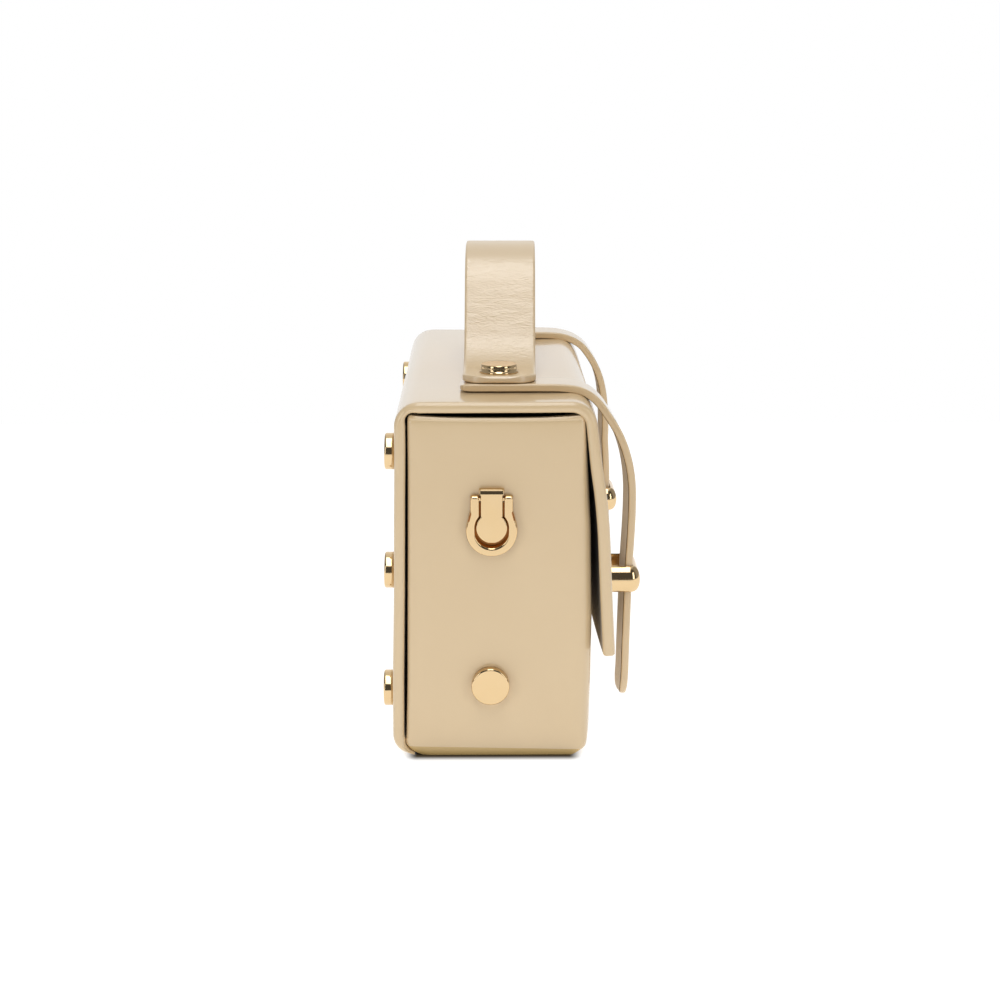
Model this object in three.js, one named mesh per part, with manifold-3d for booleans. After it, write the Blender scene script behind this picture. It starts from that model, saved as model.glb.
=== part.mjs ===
// A small structured box bag. A stiff leather wrap forms the back, the lid and the front
// flap in one piece, and covers an open tray that has the front, the two ends and the base.
// A strap handle is riveted to the lid, and two belts run forward under it, bend over the
// front edge and hang through metal keepers. Millimetres, +Z up. X runs along the bag, the
// flap faces -Y, and the origin is the middle of the flat base.
import * as THREE from 'three';
import { mergeVertices } from 'three/addons/utils/BufferGeometryUtils.js';
import Module from 'manifold-3d';

const wasm = await Module();
wasm.setup();

// Driving sizes of the whole bag
const LENGTH = 200;
const HALF = LENGTH / 2;
const CLEARANCE = 0.3;
const DEGREE = Math.PI / 180;
const WELD = 1e-4; // points nearer than this are one point
const PLATE_ARC_STEPS = 12;
const PIN_SIDES = 16;

// The wrap: its outer line in the (y, z) plane, from the turn under the base to the hem
const WRAP = {
  wall: 4.4, // stiffened leather, turned round a board
  flapWall: 4.9,
  skived: 0.6, // the edge under the base is pared thin
  edgeRound: 2,
  hemRound: 1.3,
  edgeStep: 0.3, // share of a rounding where its middle section lies
  thinnest: 0.3,
  cornerRound: 0.5, // how much of that rounding the flap's corners take
  lidBow: 0.5, // the lid stands this much higher at mid length
  bowFrom: 120, // and the walls under it rise with it, from this height
  bowFull: 140,
  stations: [-60, -20, 20, 60], // where the bowed lid is cut into sections along X
  turn: { y: 33.4, z: 8.35, radius: 8, from: -94, steps: 6, fullWallAt: 4 },
  backTop: { y: 29.6, z: 134.4, radius: 10 },
  frontTop: { y: -29.5, z: 134.6, radius: 10 },
  back: [
    { y: 41.3, z: 28 },
    { y: 40.4, z: 76 },
  ],
  flap: [
    { y: -41.8, z: 117.9 },
    { y: -43.5, z: 107 },
    { y: -44.8, z: 93.8 },
    { y: -46.1, z: 69.3 },
    { y: -47.7, z: 41.6 },
  ],
};

// The tray: outer wall lines at each height, before the base edge is turned under
const TRAY = {
  wall: 2.5,
  floor: 2.6,
  floorCove: 2.4,
  cornerSteps: 5,
  endX: 99.2,
  backCorner: 2.6,
  frontCorner: 6.5,
  leastCorner: 0.8,
  fold: { height: 3.9, slant: 0.3 }, // each end turns under in a flat fold that leans in
  underFront: 5.5,
  underBack: [ // how far the back draws in, clear of the wrap's turn
    { z: 0, inset: 5.4 },
    { z: 0.9, inset: 3.5 },
    { z: 1.6, inset: 2.3 },
    { z: 2.4, inset: 1.4 },
    { z: 3.9, inset: 0.4 },
    { z: 5.5, inset: 0 },
  ],
  walls: [
    { z: 0, back: 35.6, front: -36.5 },
    { z: 12, back: 35.6, front: -36.6 },
    { z: 28, back: 35.5, front: -37.1 },
    { z: 58, back: 35.3, front: -37.7 },
    { z: 94, back: 34.9, front: -37.2 },
    { z: 118, back: 34.6, front: -35.9 },
    { z: 132, back: 34.4, front: -34.9 },
    { z: 136.6, back: 34.2, front: -34.1 },
    { z: 137.6, back: 33.5, front: -33.4 },
    { z: 138.2, back: 32.6, front: -32.5 },
  ],
  outerLevels: [0, 0.9, 1.6, 2.4, 3.9, 5.5, 28, 58, 94, 118, 132, 136.6, 137.6, 138.2],
  innerLevels: [138.2, 132, 94, 58, 12],
};

// Belts, handle and metal pieces
const BELT = { x: 71.5, width: 17, thick: 3.1, edge: 0.7, steps: 34 };
BELT.line = [
  { y: 14.5, z: 146.7 },
  { y: -6, z: 146.7 },
  { y: -26, z: 146.8 },
  { y: -33, z: 146.3 },
  { y: -38.2, z: 143.5 },
  { y: -41.9, z: 139.3 },
  { y: -44.8, z: 135 },
  { y: -47.5, z: 130.6 },
  { y: -49.8, z: 126 },
  { y: -51.7, z: 120.6 },
  { y: -53.2, z: 114.3 },
  { y: -54.3, z: 106 },
  { y: -54.6, z: 96 },
  { y: -54.3, z: 85 },
  { y: -53.8, z: 73 },
  { y: -53.4, z: 58 },
  { y: -53, z: 40 },
  { y: -52.7, z: 19.2 },
];
const BELT_TAPER = [
  { from: 0, width: 0.72 },
  { from: 2.5, width: 1 },
];
const BELT_TIP = [
  { from: 0, width: 0.45 },
  { from: 2, width: 0.72 },
  { from: 5, width: 0.92 },
  { from: 9, width: 1 },
];
const HANDLE = {
  y: -2.4,
  width: 29,
  thick: 2.8,
  edge: 0.9,
  tabEnd: 80,
  tabZ: 149.95,
  topZ: 195.6,
  slope: 62 * DEGREE,
  footRadius: 24,
  topRadius: 26,
  topFlat: 4,
  arcSteps: 8,
};
const TAB_TAPER = [
  { from: 0, width: 0.3 },
  { from: 0.9, width: 0.55 },
  { from: 2.6, width: 0.78 },
  { from: 5.5, width: 0.94 },
  { from: 9.5, width: 1 },
];
const RIVET = { x: 69, y: -1.4, radius: 7.25, flare: 7.9, height: 3.2, lip: 0.5, neck: 1.1, bevel: 0.55 };
const STUD = { radius: 7.25, height: 3.7, bevel: 0.8, sides: 32 };
const BACK_STUD = { x: 88, rows: [25, 74.5, 123], seat: 10 };
const END_METAL = { y: 1.8, studZ: 28.7 };
const KEEPER = {
  z: 68,
  tall: 10,
  legGap: 18.2,
  bar: 2.8,
  tipY: -58.6,
  footY: -46.8,
  corner: 4.2,
  bevel: 1.1,
};
const RING = {
  pivotZ: 106.4,
  pivotOut: 2.1,
  thick: 2.4,
  outer: 9.9,
  inner: 6.65,
  earOuter: 8.25,
  earInner: 4.95,
  earRadius: 1.5,
  bottomZ: 83.1,
  holeTopZ: 94.5,
  holeBowZ: 92.6,
  bevel: 0.6,
  pin: 0.65,
  pinRoot: 1, // the pin starts this deep in the ear
  pinReach: 1.5, // and stands this far out of it
  pinRoom: 0.6, // free depth past its end
};
const TONGUE = {
  neck: 4.2,
  top: 4.8,
  topZ: 111.2,
  lipZ: 108.5,
  disc: 6.05,
  discZ: 94.5,
  thick: 3.1,
  bevel: 0.5,
};

const leather = new THREE.MeshStandardMaterial({ color: 0xd8c09a, roughness: 0.42, metalness: 0 });
const gold = new THREE.MeshStandardMaterial({ color: 0xd9b96c, roughness: 0.18, metalness: 1 });

const bag = new THREE.Group();

// Geometry helpers

// Welds a geometry by place alone, drops triangles with no area, and turns its faces out.
function closed(geometry) {
  const bare = new THREE.BufferGeometry();
  bare.setAttribute('position', geometry.getAttribute('position').clone());
  if (geometry.index) bare.setIndex(Array.from(geometry.index.array));
  const welded = mergeVertices(bare, WELD);
  const place = welded.getAttribute('position');
  const kept = [];
  let volume = 0;
  const [a, b, c] = [new THREE.Vector3(), new THREE.Vector3(), new THREE.Vector3()];
  for (let i = 0; i < welded.index.count; i += 3) {
    const corners = [welded.index.getX(i), welded.index.getX(i + 1), welded.index.getX(i + 2)];
    if (new Set(corners).size < 3) continue;
    a.fromBufferAttribute(place, corners[0]);
    b.fromBufferAttribute(place, corners[1]);
    c.fromBufferAttribute(place, corners[2]);
    volume += a.dot(b.cross(c));
    kept.push(...corners);
  }
  if (volume < 0) {
    for (let i = 0; i < kept.length; i += 3) [kept[i], kept[i + 1]] = [kept[i + 1], kept[i]];
  }
  welded.setIndex(kept);
  return welded;
}

function addPiece(parent, name, geometry, material) {
  const finished = closed(geometry);
  finished.computeVertexNormals();
  const mesh = new THREE.Mesh(finished, material);
  mesh.name = name;
  parent.add(mesh);
  return mesh;
}

// Skins a row of closed loops, each with the same number of points. A strip loop, out along
// one face and back along the other, is capped between its facing points; any other loop is
// capped by a fan from its middle.
function loft(loops, strip = false) {
  const count = loops[0].length;
  const points = loops.flat();
  const faces = [];
  for (let row = 0; row + 1 < loops.length; row += 1) {
    for (let k = 0; k < count; k += 1) {
      const here = row * count + k;
      const side = row * count + ((k + 1) % count);
      faces.push(here, side, side + count, here, side + count, here + count);
    }
  }
  for (const [row, first] of [[0, true], [loops.length - 1, false]]) {
    const base = row * count;
    const cap = [];
    if (strip) {
      for (let k = 0; k + 1 < count / 2; k += 1) {
        const far = base + count - 1 - k;
        cap.push([base + k, far, base + k + 1], [base + k + 1, far, far - 1]);
      }
    } else {
      const middle = points.length;
      const sum = loops[row].reduce((total, p) => total.add(p), new THREE.Vector3());
      points.push(sum.divideScalar(count));
      for (let k = 0; k < count; k += 1) cap.push([base + ((k + 1) % count), base + k, middle]);
    }
    for (const [p, q, r] of cap) faces.push(...(first ? [p, q, r] : [q, p, r]));
  }
  const geometry = new THREE.BufferGeometry().setFromPoints(points);
  geometry.setIndex(faces);
  return geometry;
}

function arc({ y, z, radius }, from, to, steps) {
  const points = [];
  for (let i = 0; i <= steps; i += 1) {
    const turn = (from + ((to - from) * i) / steps) * DEGREE;
    points.push(new THREE.Vector2(y + radius * Math.cos(turn), z + radius * Math.sin(turn)));
  }
  return points;
}

// A value from a table whose rows are in the order of the key column
function between(table, key, value, column) {
  const next = table.findIndex((row) => row[key] >= value);
  if (next === 0) return table[0][column];
  if (next < 0) return table[table.length - 1][column];
  const low = table[next - 1];
  const high = table[next];
  const share = (value - low[key]) / (high[key] - low[key]);
  return low[column] + (high[column] - low[column]) * share;
}

// How far a rounded edge of this radius has drawn in, this far from the edge
function drawIn(radius, distance) {
  if (distance >= radius) return 0;
  return radius - Math.sqrt(radius ** 2 - (radius - distance) ** 2);
}

function toManifold(geometry) {
  const solid = closed(geometry);
  return new wasm.Manifold(
    new wasm.Mesh({
      numProp: 3,
      vertProperties: new Float32Array(solid.getAttribute('position').array),
      triVerts: new Uint32Array(solid.index.array),
    }),
  );
}

function fromManifold(solid) {
  const mesh = solid.getMesh();
  const geometry = new THREE.BufferGeometry();
  geometry.setAttribute('position', new THREE.BufferAttribute(mesh.vertProperties, 3));
  geometry.setIndex(Array.from(mesh.triVerts));
  return geometry;
}

// The wrap

function wrapLine() {
  const line = [];
  const add = (point, wall) => line.push({ point, wall });
  const { from, steps, fullWallAt } = WRAP.turn;
  const paring = WRAP.wall - WRAP.skived;
  arc(WRAP.turn, from, 0, steps).forEach((p, i) => {
    add(p, WRAP.skived + paring * Math.min(1, i / fullWallAt));
  });
  WRAP.back.forEach(({ y, z }) => add(new THREE.Vector2(y, z), WRAP.wall));
  arc(WRAP.backTop, 0, 90, steps).forEach((p) => add(p, WRAP.wall));
  arc(WRAP.frontTop, 90, 180, steps).forEach((p) => add(p, WRAP.wall));
  WRAP.flap.forEach(({ y, z }) => add(new THREE.Vector2(y, z), WRAP.flapWall));
  const hem = line[line.length - 1].point;
  const above = line[line.length - 2].point;
  const up = above.clone().sub(hem).normalize();
  for (const distance of [WRAP.hemRound, WRAP.hemRound * WRAP.edgeStep]) {
    const place = line.length - 1;
    const point = hem.clone().addScaledVector(up, distance);
    line.splice(place, 0, { point, wall: WRAP.flapWall, hem: distance });
  }
  line[line.length - 1].hem = 0;
  return line;
}

function wrapLoop(line, x) {
  const edge = drawIn(WRAP.edgeRound, HALF - Math.abs(x));
  const bow = WRAP.lidBow * (1 - (x / HALF) ** 2);
  const outer = [];
  const inner = [];
  line.forEach(({ point, wall, hem }, i) => {
    const before = line[Math.max(i - 1, 0)].point;
    const after = line[Math.min(i + 1, line.length - 1)].point;
    const along = after.clone().sub(before).normalize();
    const inward = new THREE.Vector2(-along.y, along.x);
    const rounded = edge + (hem === undefined ? 0 : drawIn(WRAP.hemRound, hem));
    const inset = Math.min(rounded, (wall - WRAP.thinnest) / 2);
    const start = point.clone();
    const pullBack = edge * WRAP.cornerRound;
    if (i === 0) start.addScaledVector(along, pullBack);
    if (hem !== undefined) start.addScaledVector(along, -pullBack * (1 - hem / WRAP.hemRound));
    const lift = bow * THREE.MathUtils.smoothstep(point.y, WRAP.bowFrom, WRAP.bowFull);
    const skin = start.clone().addScaledVector(inward, inset);
    const lining = start.clone().addScaledVector(inward, wall - inset);
    outer.push(new THREE.Vector3(x, skin.x, skin.y + lift));
    inner.push(new THREE.Vector3(x, lining.x, lining.y + lift));
  });
  return [...outer, ...inner.reverse()];
}

function wrapGeometry() {
  const line = wrapLine();
  const edge = WRAP.edgeRound;
  const ends = [HALF, HALF - edge * WRAP.edgeStep, HALF - edge];
  const stations = [...ends.map((x) => -x), ...WRAP.stations, ...ends.reverse()];
  return loft(stations.map((x) => wrapLoop(line, x)), true);
}

addPiece(bag, 'wrap', wrapGeometry(), leather);

// The tray

function roundedLoop(z, endX, back, front, backCorner, frontCorner) {
  const loop = [];
  const corners = [
    { sign: 1, y: back, radius: backCorner, from: 0 },
    { sign: -1, y: back, radius: backCorner, from: 90 },
    { sign: -1, y: front, radius: frontCorner, from: 180 },
    { sign: 1, y: front, radius: frontCorner, from: 270 },
  ];
  for (const { sign, y, radius, from } of corners) {
    const centre = { y: sign * (endX - radius), z: y - Math.sign(y) * radius, radius };
    for (const p of arc(centre, from, from + 90, TRAY.cornerSteps)) loop.push(new THREE.Vector3(p.x, p.y, z));
  }
  return loop;
}

function trayLoop(z, inset, lift) {
  const height = z - lift;
  const under = between(TRAY.underBack, 'z', height, 'inset');
  const back = between(TRAY.walls, 'z', z, 'back') - inset - under;
  const front = between(TRAY.walls, 'z', z, 'front') + inset + drawIn(TRAY.underFront, height);
  const endX = TRAY.endX - inset - TRAY.fold.slant * Math.max(0, TRAY.fold.height - height);
  const backCorner = Math.max(TRAY.leastCorner, TRAY.backCorner - inset);
  return roundedLoop(z, endX, back, front, backCorner, TRAY.frontCorner - inset);
}

function trayGeometry() {
  const outer = TRAY.outerLevels.map((z) => trayLoop(z, 0, 0));
  const inner = TRAY.innerLevels.map((z) => trayLoop(z, TRAY.wall, TRAY.floor));
  const floor = [TRAY.floor + TRAY.floorCove, TRAY.floor].map((z) => trayLoop(z, TRAY.wall, TRAY.floor));
  return loft([...outer, ...inner, ...floor]);
}

addPiece(bag, 'tray', trayGeometry(), leather);

// Straps: a flat section with eased edges, carried along a line

function strapLoops(line, side, { width, thick, edge }, scaleAt) {
  return line.map((point, i) => {
    const before = line[Math.max(i - 1, 0)];
    const after = line[Math.min(i + 1, line.length - 1)];
    const along = after.clone().sub(before).normalize();
    const face = side.clone().cross(along).normalize();
    const half = (width / 2) * scaleAt(i);
    const flat = thick / 2;
    const corners = [
      [half, -flat + edge],
      [half, flat - edge],
      [half - edge, flat],
      [-half + edge, flat],
      [-half, flat - edge],
      [-half, -flat + edge],
      [-half + edge, -flat],
      [half - edge, -flat],
    ];
    return corners.map(([across, up]) => {
      return point.clone().addScaledVector(side, across).addScaledVector(face, up);
    });
  });
}

function beltGeometry() {
  const places = BELT.line.map(({ y, z }) => new THREE.Vector3(0, y, z));
  const curve = new THREE.CatmullRomCurve3(places, false, 'centripetal');
  const length = curve.getLength();
  const stations = BELT_TAPER.map(({ from }) => from);
  const tip = BELT_TIP.map(({ from }) => length - from).reverse();
  const head = stations[stations.length - 1];
  const run = tip[0] - head;
  for (let i = 1; i < BELT.steps; i += 1) stations.push(head + (run * i) / BELT.steps);
  stations.push(...tip);
  const line = stations.map((s) => curve.getPointAt(s / length));
  const scaleAt = (i) => {
    const start = between(BELT_TAPER, 'from', stations[i], 'width');
    return Math.min(start, between(BELT_TIP, 'from', length - stations[i], 'width'));
  };
  return loft(strapLoops(line, new THREE.Vector3(1, 0, 0), BELT, scaleAt));
}

function handleLine() {
  const { tabEnd, tabZ, topZ, slope, footRadius, topRadius, topFlat, arcSteps } = HANDLE;
  const bends = (footRadius + topRadius) * (1 - Math.cos(slope));
  const rise = topZ - tabZ - bends;
  const topX = -topFlat;
  const footX = topX - (footRadius + topRadius) * Math.sin(slope) - rise / Math.tan(slope);
  const half = TAB_TAPER.map(({ from }) => [-tabEnd + from, tabZ]);
  half.push([(footX - tabEnd) / 2, tabZ]);
  for (let i = 0; i <= arcSteps; i += 1) {
    const turn = (slope * i) / arcSteps;
    half.push([footX + footRadius * Math.sin(turn), tabZ + footRadius * (1 - Math.cos(turn))]);
  }
  for (let i = 0; i <= arcSteps; i += 1) {
    const turn = slope * (1 - i / arcSteps);
    half.push([topX - topRadius * Math.sin(turn), topZ - topRadius * (1 - Math.cos(turn))]);
  }
  const mirrored = half.map(([x, z]) => [-x, z]).reverse();
  return [...half, ...mirrored].map(([x, z]) => new THREE.Vector3(x, HANDLE.y, z));
}

function handleGeometry() {
  const line = handleLine();
  const scaleAt = (i) => between(TAB_TAPER, 'from', HANDLE.tabEnd - Math.abs(line[i].x), 'width');
  return loft(strapLoops(line, new THREE.Vector3(0, 1, 0), HANDLE, scaleAt));
}

addPiece(bag, 'handle', handleGeometry(), leather);

// Round metal heads, turned about their own axis with the base at 0

function headGeometry(profile) {
  const points = profile.map(([radius, height]) => new THREE.Vector2(radius, height));
  return new THREE.LatheGeometry(points, STUD.sides);
}

const studProfile = [
  [0, 0],
  [STUD.radius, 0],
  [STUD.radius, STUD.height - STUD.bevel],
  [STUD.radius - STUD.bevel, STUD.height],
  [0, STUD.height],
];
const rivetProfile = [
  [0, 0],
  [RIVET.flare, 0],
  [RIVET.flare, RIVET.lip],
  [RIVET.radius, RIVET.neck],
  [RIVET.radius, RIVET.height - RIVET.bevel],
  [RIVET.radius - RIVET.bevel, RIVET.height],
  [0, RIVET.height],
];

// The back wall's outer face at a height, between its foot and its top bend
const backFace = [
  { z: WRAP.turn.z, y: WRAP.turn.y + WRAP.turn.radius },
  ...WRAP.back,
  { z: WRAP.backTop.z, y: WRAP.backTop.y + WRAP.backTop.radius },
];

function backStud(side, row) {
  const z = BACK_STUD.rows[row];
  const { seat } = BACK_STUD;
  const step = between(backFace, 'z', z - seat, 'y') - between(backFace, 'z', z + seat, 'y');
  const lean = Math.atan2(step, 2 * seat);
  const name = `back_stud_${side < 0 ? 'left' : 'right'}_${row + 1}`;
  const stud = addPiece(bag, name, headGeometry(studProfile), gold);
  stud.position.set(side * BACK_STUD.x, between(backFace, 'z', z, 'y') + CLEARANCE, z);
  stud.rotation.x = lean;
}

// Ring and tongue: outlines in (across, height), thickness outwards

function outward(geometry) {
  const axes = new THREE.Matrix4().makeBasis(
    new THREE.Vector3(0, 1, 0),
    new THREE.Vector3(0, 0, 1),
    new THREE.Vector3(1, 0, 0),
  );
  return geometry.applyMatrix4(axes);
}

function plate(shape, thick, bevel, bevelSegments = 1) {
  const settings = {
    depth: thick - 2 * bevel,
    bevelEnabled: true,
    bevelThickness: bevel,
    bevelSize: bevel,
    bevelOffset: -bevel,
    bevelSegments,
    curveSegments: PLATE_ARC_STEPS,
  };
  return new THREE.ExtrudeGeometry(shape, settings).translate(0, 0, bevel);
}

function pinGeometry(radius, length, middle) {
  return new THREE.CylinderGeometry(radius, radius, length, PIN_SIDES).translate(0, middle, 0);
}

function ringGeometry() {
  const r = RING;
  const shape = new THREE.Shape();
  const earTop = r.pivotZ + r.earRadius;
  const holeTurn = Math.acos(r.earInner / r.inner);
  const rimTurn = Math.acos(r.earOuter / r.outer);
  shape.moveTo(r.earOuter, earTop);
  shape.lineTo(r.earInner, earTop);
  shape.absarc(0, r.holeTopZ, r.inner, holeTurn, 0, true);
  shape.absarc(0, r.holeBowZ, r.inner, 0, Math.PI, true);
  shape.absarc(0, r.holeTopZ, r.inner, Math.PI, Math.PI - holeTurn, true);
  shape.lineTo(-r.earInner, earTop);
  shape.lineTo(-r.earOuter, earTop);
  shape.absarc(0, r.bottomZ + r.outer, r.outer, Math.PI - rimTurn, 2 * Math.PI + rimTurn, false);
  let solid = toManifold(outward(plate(shape, r.thick, r.bevel)).translate(r.pivotOut - r.thick / 2, 0, 0));
  const length = r.pinReach + r.pinRoot;
  for (const side of [-1, 1]) {
    const pin = pinGeometry(r.pin, length, side * (r.earInner + r.pinRoot - length / 2));
    solid = solid.add(toManifold(pin.translate(r.pivotOut, 0, r.pivotZ)));
  }
  return fromManifold(solid);
}

function tongueGeometry() {
  const t = TONGUE;
  const reach = Math.asin(t.neck / t.disc);
  const shape = new THREE.Shape();
  shape.moveTo(t.top, t.topZ);
  shape.lineTo(-t.top, t.topZ);
  shape.lineTo(-t.top, t.lipZ);
  shape.lineTo(-t.neck, t.lipZ);
  shape.absarc(0, t.discZ, t.disc, Math.PI / 2 + reach, Math.PI / 2 - reach + 2 * Math.PI, false);
  shape.lineTo(t.neck, t.lipZ);
  shape.lineTo(t.top, t.lipZ);
  let solid = toManifold(outward(plate(shape, t.thick, t.bevel)).translate(CLEARANCE, 0, 0));
  const length = RING.pinRoot + RING.pinReach + RING.pinRoom;
  for (const side of [-1, 1]) {
    const middle = side * (t.neck + RING.pinRoot - length / 2);
    const socket = pinGeometry(RING.pin + CLEARANCE, length, middle);
    solid = solid.subtract(toManifold(socket.translate(RING.pivotOut, 0, RING.pivotZ)));
  }
  return fromManifold(solid);
}

// Keeper: a bridge over the belt, with both feet on the flap

function keeperGeometry() {
  const { legGap, bar, tipY, footY, corner, tall, bevel } = KEEPER;
  const inner = legGap / 2;
  const outer = inner + bar;
  const inside = corner - bar;
  const shape = new THREE.Shape();
  shape.moveTo(-outer, footY);
  shape.lineTo(-outer, tipY + corner);
  shape.absarc(-outer + corner, tipY + corner, corner, Math.PI, 1.5 * Math.PI, false);
  shape.lineTo(outer - corner, tipY);
  shape.absarc(outer - corner, tipY + corner, corner, 1.5 * Math.PI, 2 * Math.PI, false);
  shape.lineTo(outer, footY);
  shape.lineTo(inner, footY);
  shape.lineTo(inner, tipY + bar + inside);
  shape.absarc(inner - inside, tipY + bar + inside, inside, 2 * Math.PI, 1.5 * Math.PI, true);
  shape.lineTo(-inner + inside, tipY + bar);
  shape.absarc(-inner + inside, tipY + bar + inside, inside, 1.5 * Math.PI, Math.PI, true);
  shape.lineTo(-inner, footY);
  return plate(shape, tall, bevel, 2).translate(0, 0, -tall / 2);
}

// One of each pair at both ends of the bag
for (const side of [-1, 1]) {
  const hand = side < 0 ? 'left' : 'right';

  const belt = addPiece(bag, `belt_${hand}`, beltGeometry(), leather);
  belt.position.x = side * BELT.x;

  const keeper = addPiece(bag, `keeper_${hand}`, keeperGeometry(), gold);
  keeper.position.set(side * BELT.x, 0, KEEPER.z);

  const rivet = addPiece(bag, `handle_rivet_${hand}`, headGeometry(rivetProfile), gold);
  rivet.rotation.x = Math.PI / 2;
  rivet.position.set(side * RIVET.x, RIVET.y, HANDLE.tabZ + HANDLE.thick / 2 + CLEARANCE);

  BACK_STUD.rows.forEach((_, row) => backStud(side, row));

  const end = new THREE.Group();
  end.position.set(side * TRAY.endX, END_METAL.y, 0);
  end.rotation.z = side < 0 ? Math.PI : 0;
  bag.add(end);
  addPiece(end, `ring_${hand}`, ringGeometry(), gold);
  addPiece(end, `tongue_${hand}`, tongueGeometry(), gold);
  const stud = addPiece(end, `end_stud_${hand}`, headGeometry(studProfile), gold);
  stud.rotation.z = -Math.PI / 2;
  stud.position.set(CLEARANCE, 0, END_METAL.studZ);
}

export default bag;
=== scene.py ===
# %% [markdown]
# # A small box bag in beige leather
# The bag is a stiff box: one leather wrap forms the back, the lid and the front flap, and covers
# a tray. A strap handle and two belts sit on the lid, and all the metal is polished pale gold.
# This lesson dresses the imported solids: every piece is made again at full detail, in the same
# place and in the same frame, X along the bag, the flap towards -Y and Z up.

# %% Load the frame
import math

import bmesh
import bpy
import numpy as np
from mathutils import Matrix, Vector, noise


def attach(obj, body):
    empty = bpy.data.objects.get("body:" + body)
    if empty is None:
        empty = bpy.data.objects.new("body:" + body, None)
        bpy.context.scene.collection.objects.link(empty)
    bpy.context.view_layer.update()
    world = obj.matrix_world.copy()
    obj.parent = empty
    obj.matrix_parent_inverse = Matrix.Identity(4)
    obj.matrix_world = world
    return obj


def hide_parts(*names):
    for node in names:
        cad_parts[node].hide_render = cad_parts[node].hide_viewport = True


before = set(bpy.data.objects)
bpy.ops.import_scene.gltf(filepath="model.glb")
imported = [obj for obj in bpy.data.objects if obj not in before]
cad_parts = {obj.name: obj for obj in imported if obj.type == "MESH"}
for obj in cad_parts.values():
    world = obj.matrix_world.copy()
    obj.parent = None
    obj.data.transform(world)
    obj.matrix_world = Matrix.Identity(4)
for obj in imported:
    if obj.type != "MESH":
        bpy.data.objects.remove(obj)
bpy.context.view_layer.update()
MM = 0.001

# %% [markdown]
# ## The camera
# The picture is taken at the bag's narrow end, from a little above. A camera could be placed by
# eye, but the lines that run along the bag all meet at one point of the picture. That point
# gives the tilt and the turn, and the size of the near end gives the distance and the lens.

# %% Camera
SENSOR = 36.0
PICTURE = 1000
FOCAL_PIXELS = 1902.0
EYE = Vector((-0.82303, 0.00436, 0.27700))
TILT_DOWN = math.radians(13.311)
TURN = math.radians(-0.469)

camera_data = bpy.data.cameras.new("camera")
camera_data.sensor_width = SENSOR
camera_data.lens = FOCAL_PIXELS / PICTURE * SENSOR
camera_data.clip_start = 0.01
camera = bpy.data.objects.new("camera", camera_data)
camera.location = EYE
looking = Vector((
    math.cos(TILT_DOWN) * math.cos(TURN),
    math.cos(TILT_DOWN) * math.sin(TURN),
    -math.sin(TILT_DOWN),
))
camera.rotation_euler = looking.to_track_quat("-Z", "Y").to_euler()
bpy.context.scene.collection.objects.link(camera)
bpy.context.scene.camera = camera
print("lens", round(camera_data.lens, 2), "mm")

# %% [markdown]
# ## Nodes written as Python
# Materials, the studio and the Geometry Nodes trees are all node trees. Wiring each node by hand
# hides the sum that it stands for. So one class adds nodes to a tree, and a second one wraps an
# output, so that `1 - mask * 0.5` is written as that and becomes Math nodes.

# %% Node helpers


class Wire:
    """A node's output that can be used in Python sums."""

    def __init__(self, plan, socket):
        self.plan = plan
        self.socket = socket

    def __add__(self, other):
        return self.plan.maths("ADD", self, other)

    def __sub__(self, other):
        return self.plan.maths("SUBTRACT", self, other)

    def __rsub__(self, other):
        return self.plan.maths("SUBTRACT", other, self)

    def __mul__(self, other):
        return self.plan.maths("MULTIPLY", self, other)

    def __truediv__(self, other):
        return self.plan.maths("DIVIDE", self, other)

    __radd__ = __add__
    __rmul__ = __mul__


class Plan:
    """Adds nodes to one tree: a material's, the studio's or a geometry tree's."""

    def __init__(self, tree):
        self.tree = tree

    def pick(self, sockets, key):
        if isinstance(key, int):
            return sockets[key]
        open_ones = [s for s in sockets if s.enabled]
        return next(s for s in open_ones if key in (s.name, s.identifier))

    def join(self, socket, value):
        if isinstance(value, Wire):
            self.tree.links.new(value.socket, socket)
        else:
            socket.default_value = value

    def add(self, kind, settings=None, sockets=None, out=None):
        """One node: its settings first, then the values or wires of its sockets."""
        node = self.tree.nodes.new(kind)
        for name, value in (settings or {}).items():
            if name == "captures":
                for kind_of_value, title in value:
                    node.capture_items.new(kind_of_value, title)
            else:
                setattr(node, name, value)
        for key, value in (sockets or {}).items():
            self.join(self.pick(node.inputs, key), value)
        if not node.outputs:
            return node
        if out is not None:
            return Wire(self, self.pick(node.outputs, out))
        return Wire(self, next(s for s in node.outputs if s.enabled))

    def other(self, wire, key):
        """Another output of the node that a wire comes from."""
        return Wire(self, self.pick(wire.socket.node.outputs, key))

    def maths(self, operation, *values):
        return self.add("ShaderNodeMath", {"operation": operation}, dict(enumerate(values)))

    def scaled(self, vector, amount):
        return self.add("ShaderNodeVectorMath", {"operation": "SCALE"}, {0: vector, "Scale": amount})

    def parts(self, vector):
        """A vector's X, Y and Z."""
        x = self.add("ShaderNodeSeparateXYZ", None, {"Vector": vector}, out="X")
        return x, self.other(x, "Y"), self.other(x, "Z")

    def ease(self, value, low, high, to_low=0.0, to_high=1.0):
        """A soft step from one value to another."""
        settings = {"interpolation_type": "SMOOTHSTEP"}
        sockets = {"Value": value, "From Min": low, "From Max": high, "To Min": to_low, "To Max": to_high}
        return self.add("ShaderNodeMapRange", settings, sockets)

    def blend(self, share, first, second):
        return self.add("ShaderNodeMix", {"data_type": "RGBA"}, {"Factor": share, "A": first, "B": second})


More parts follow.
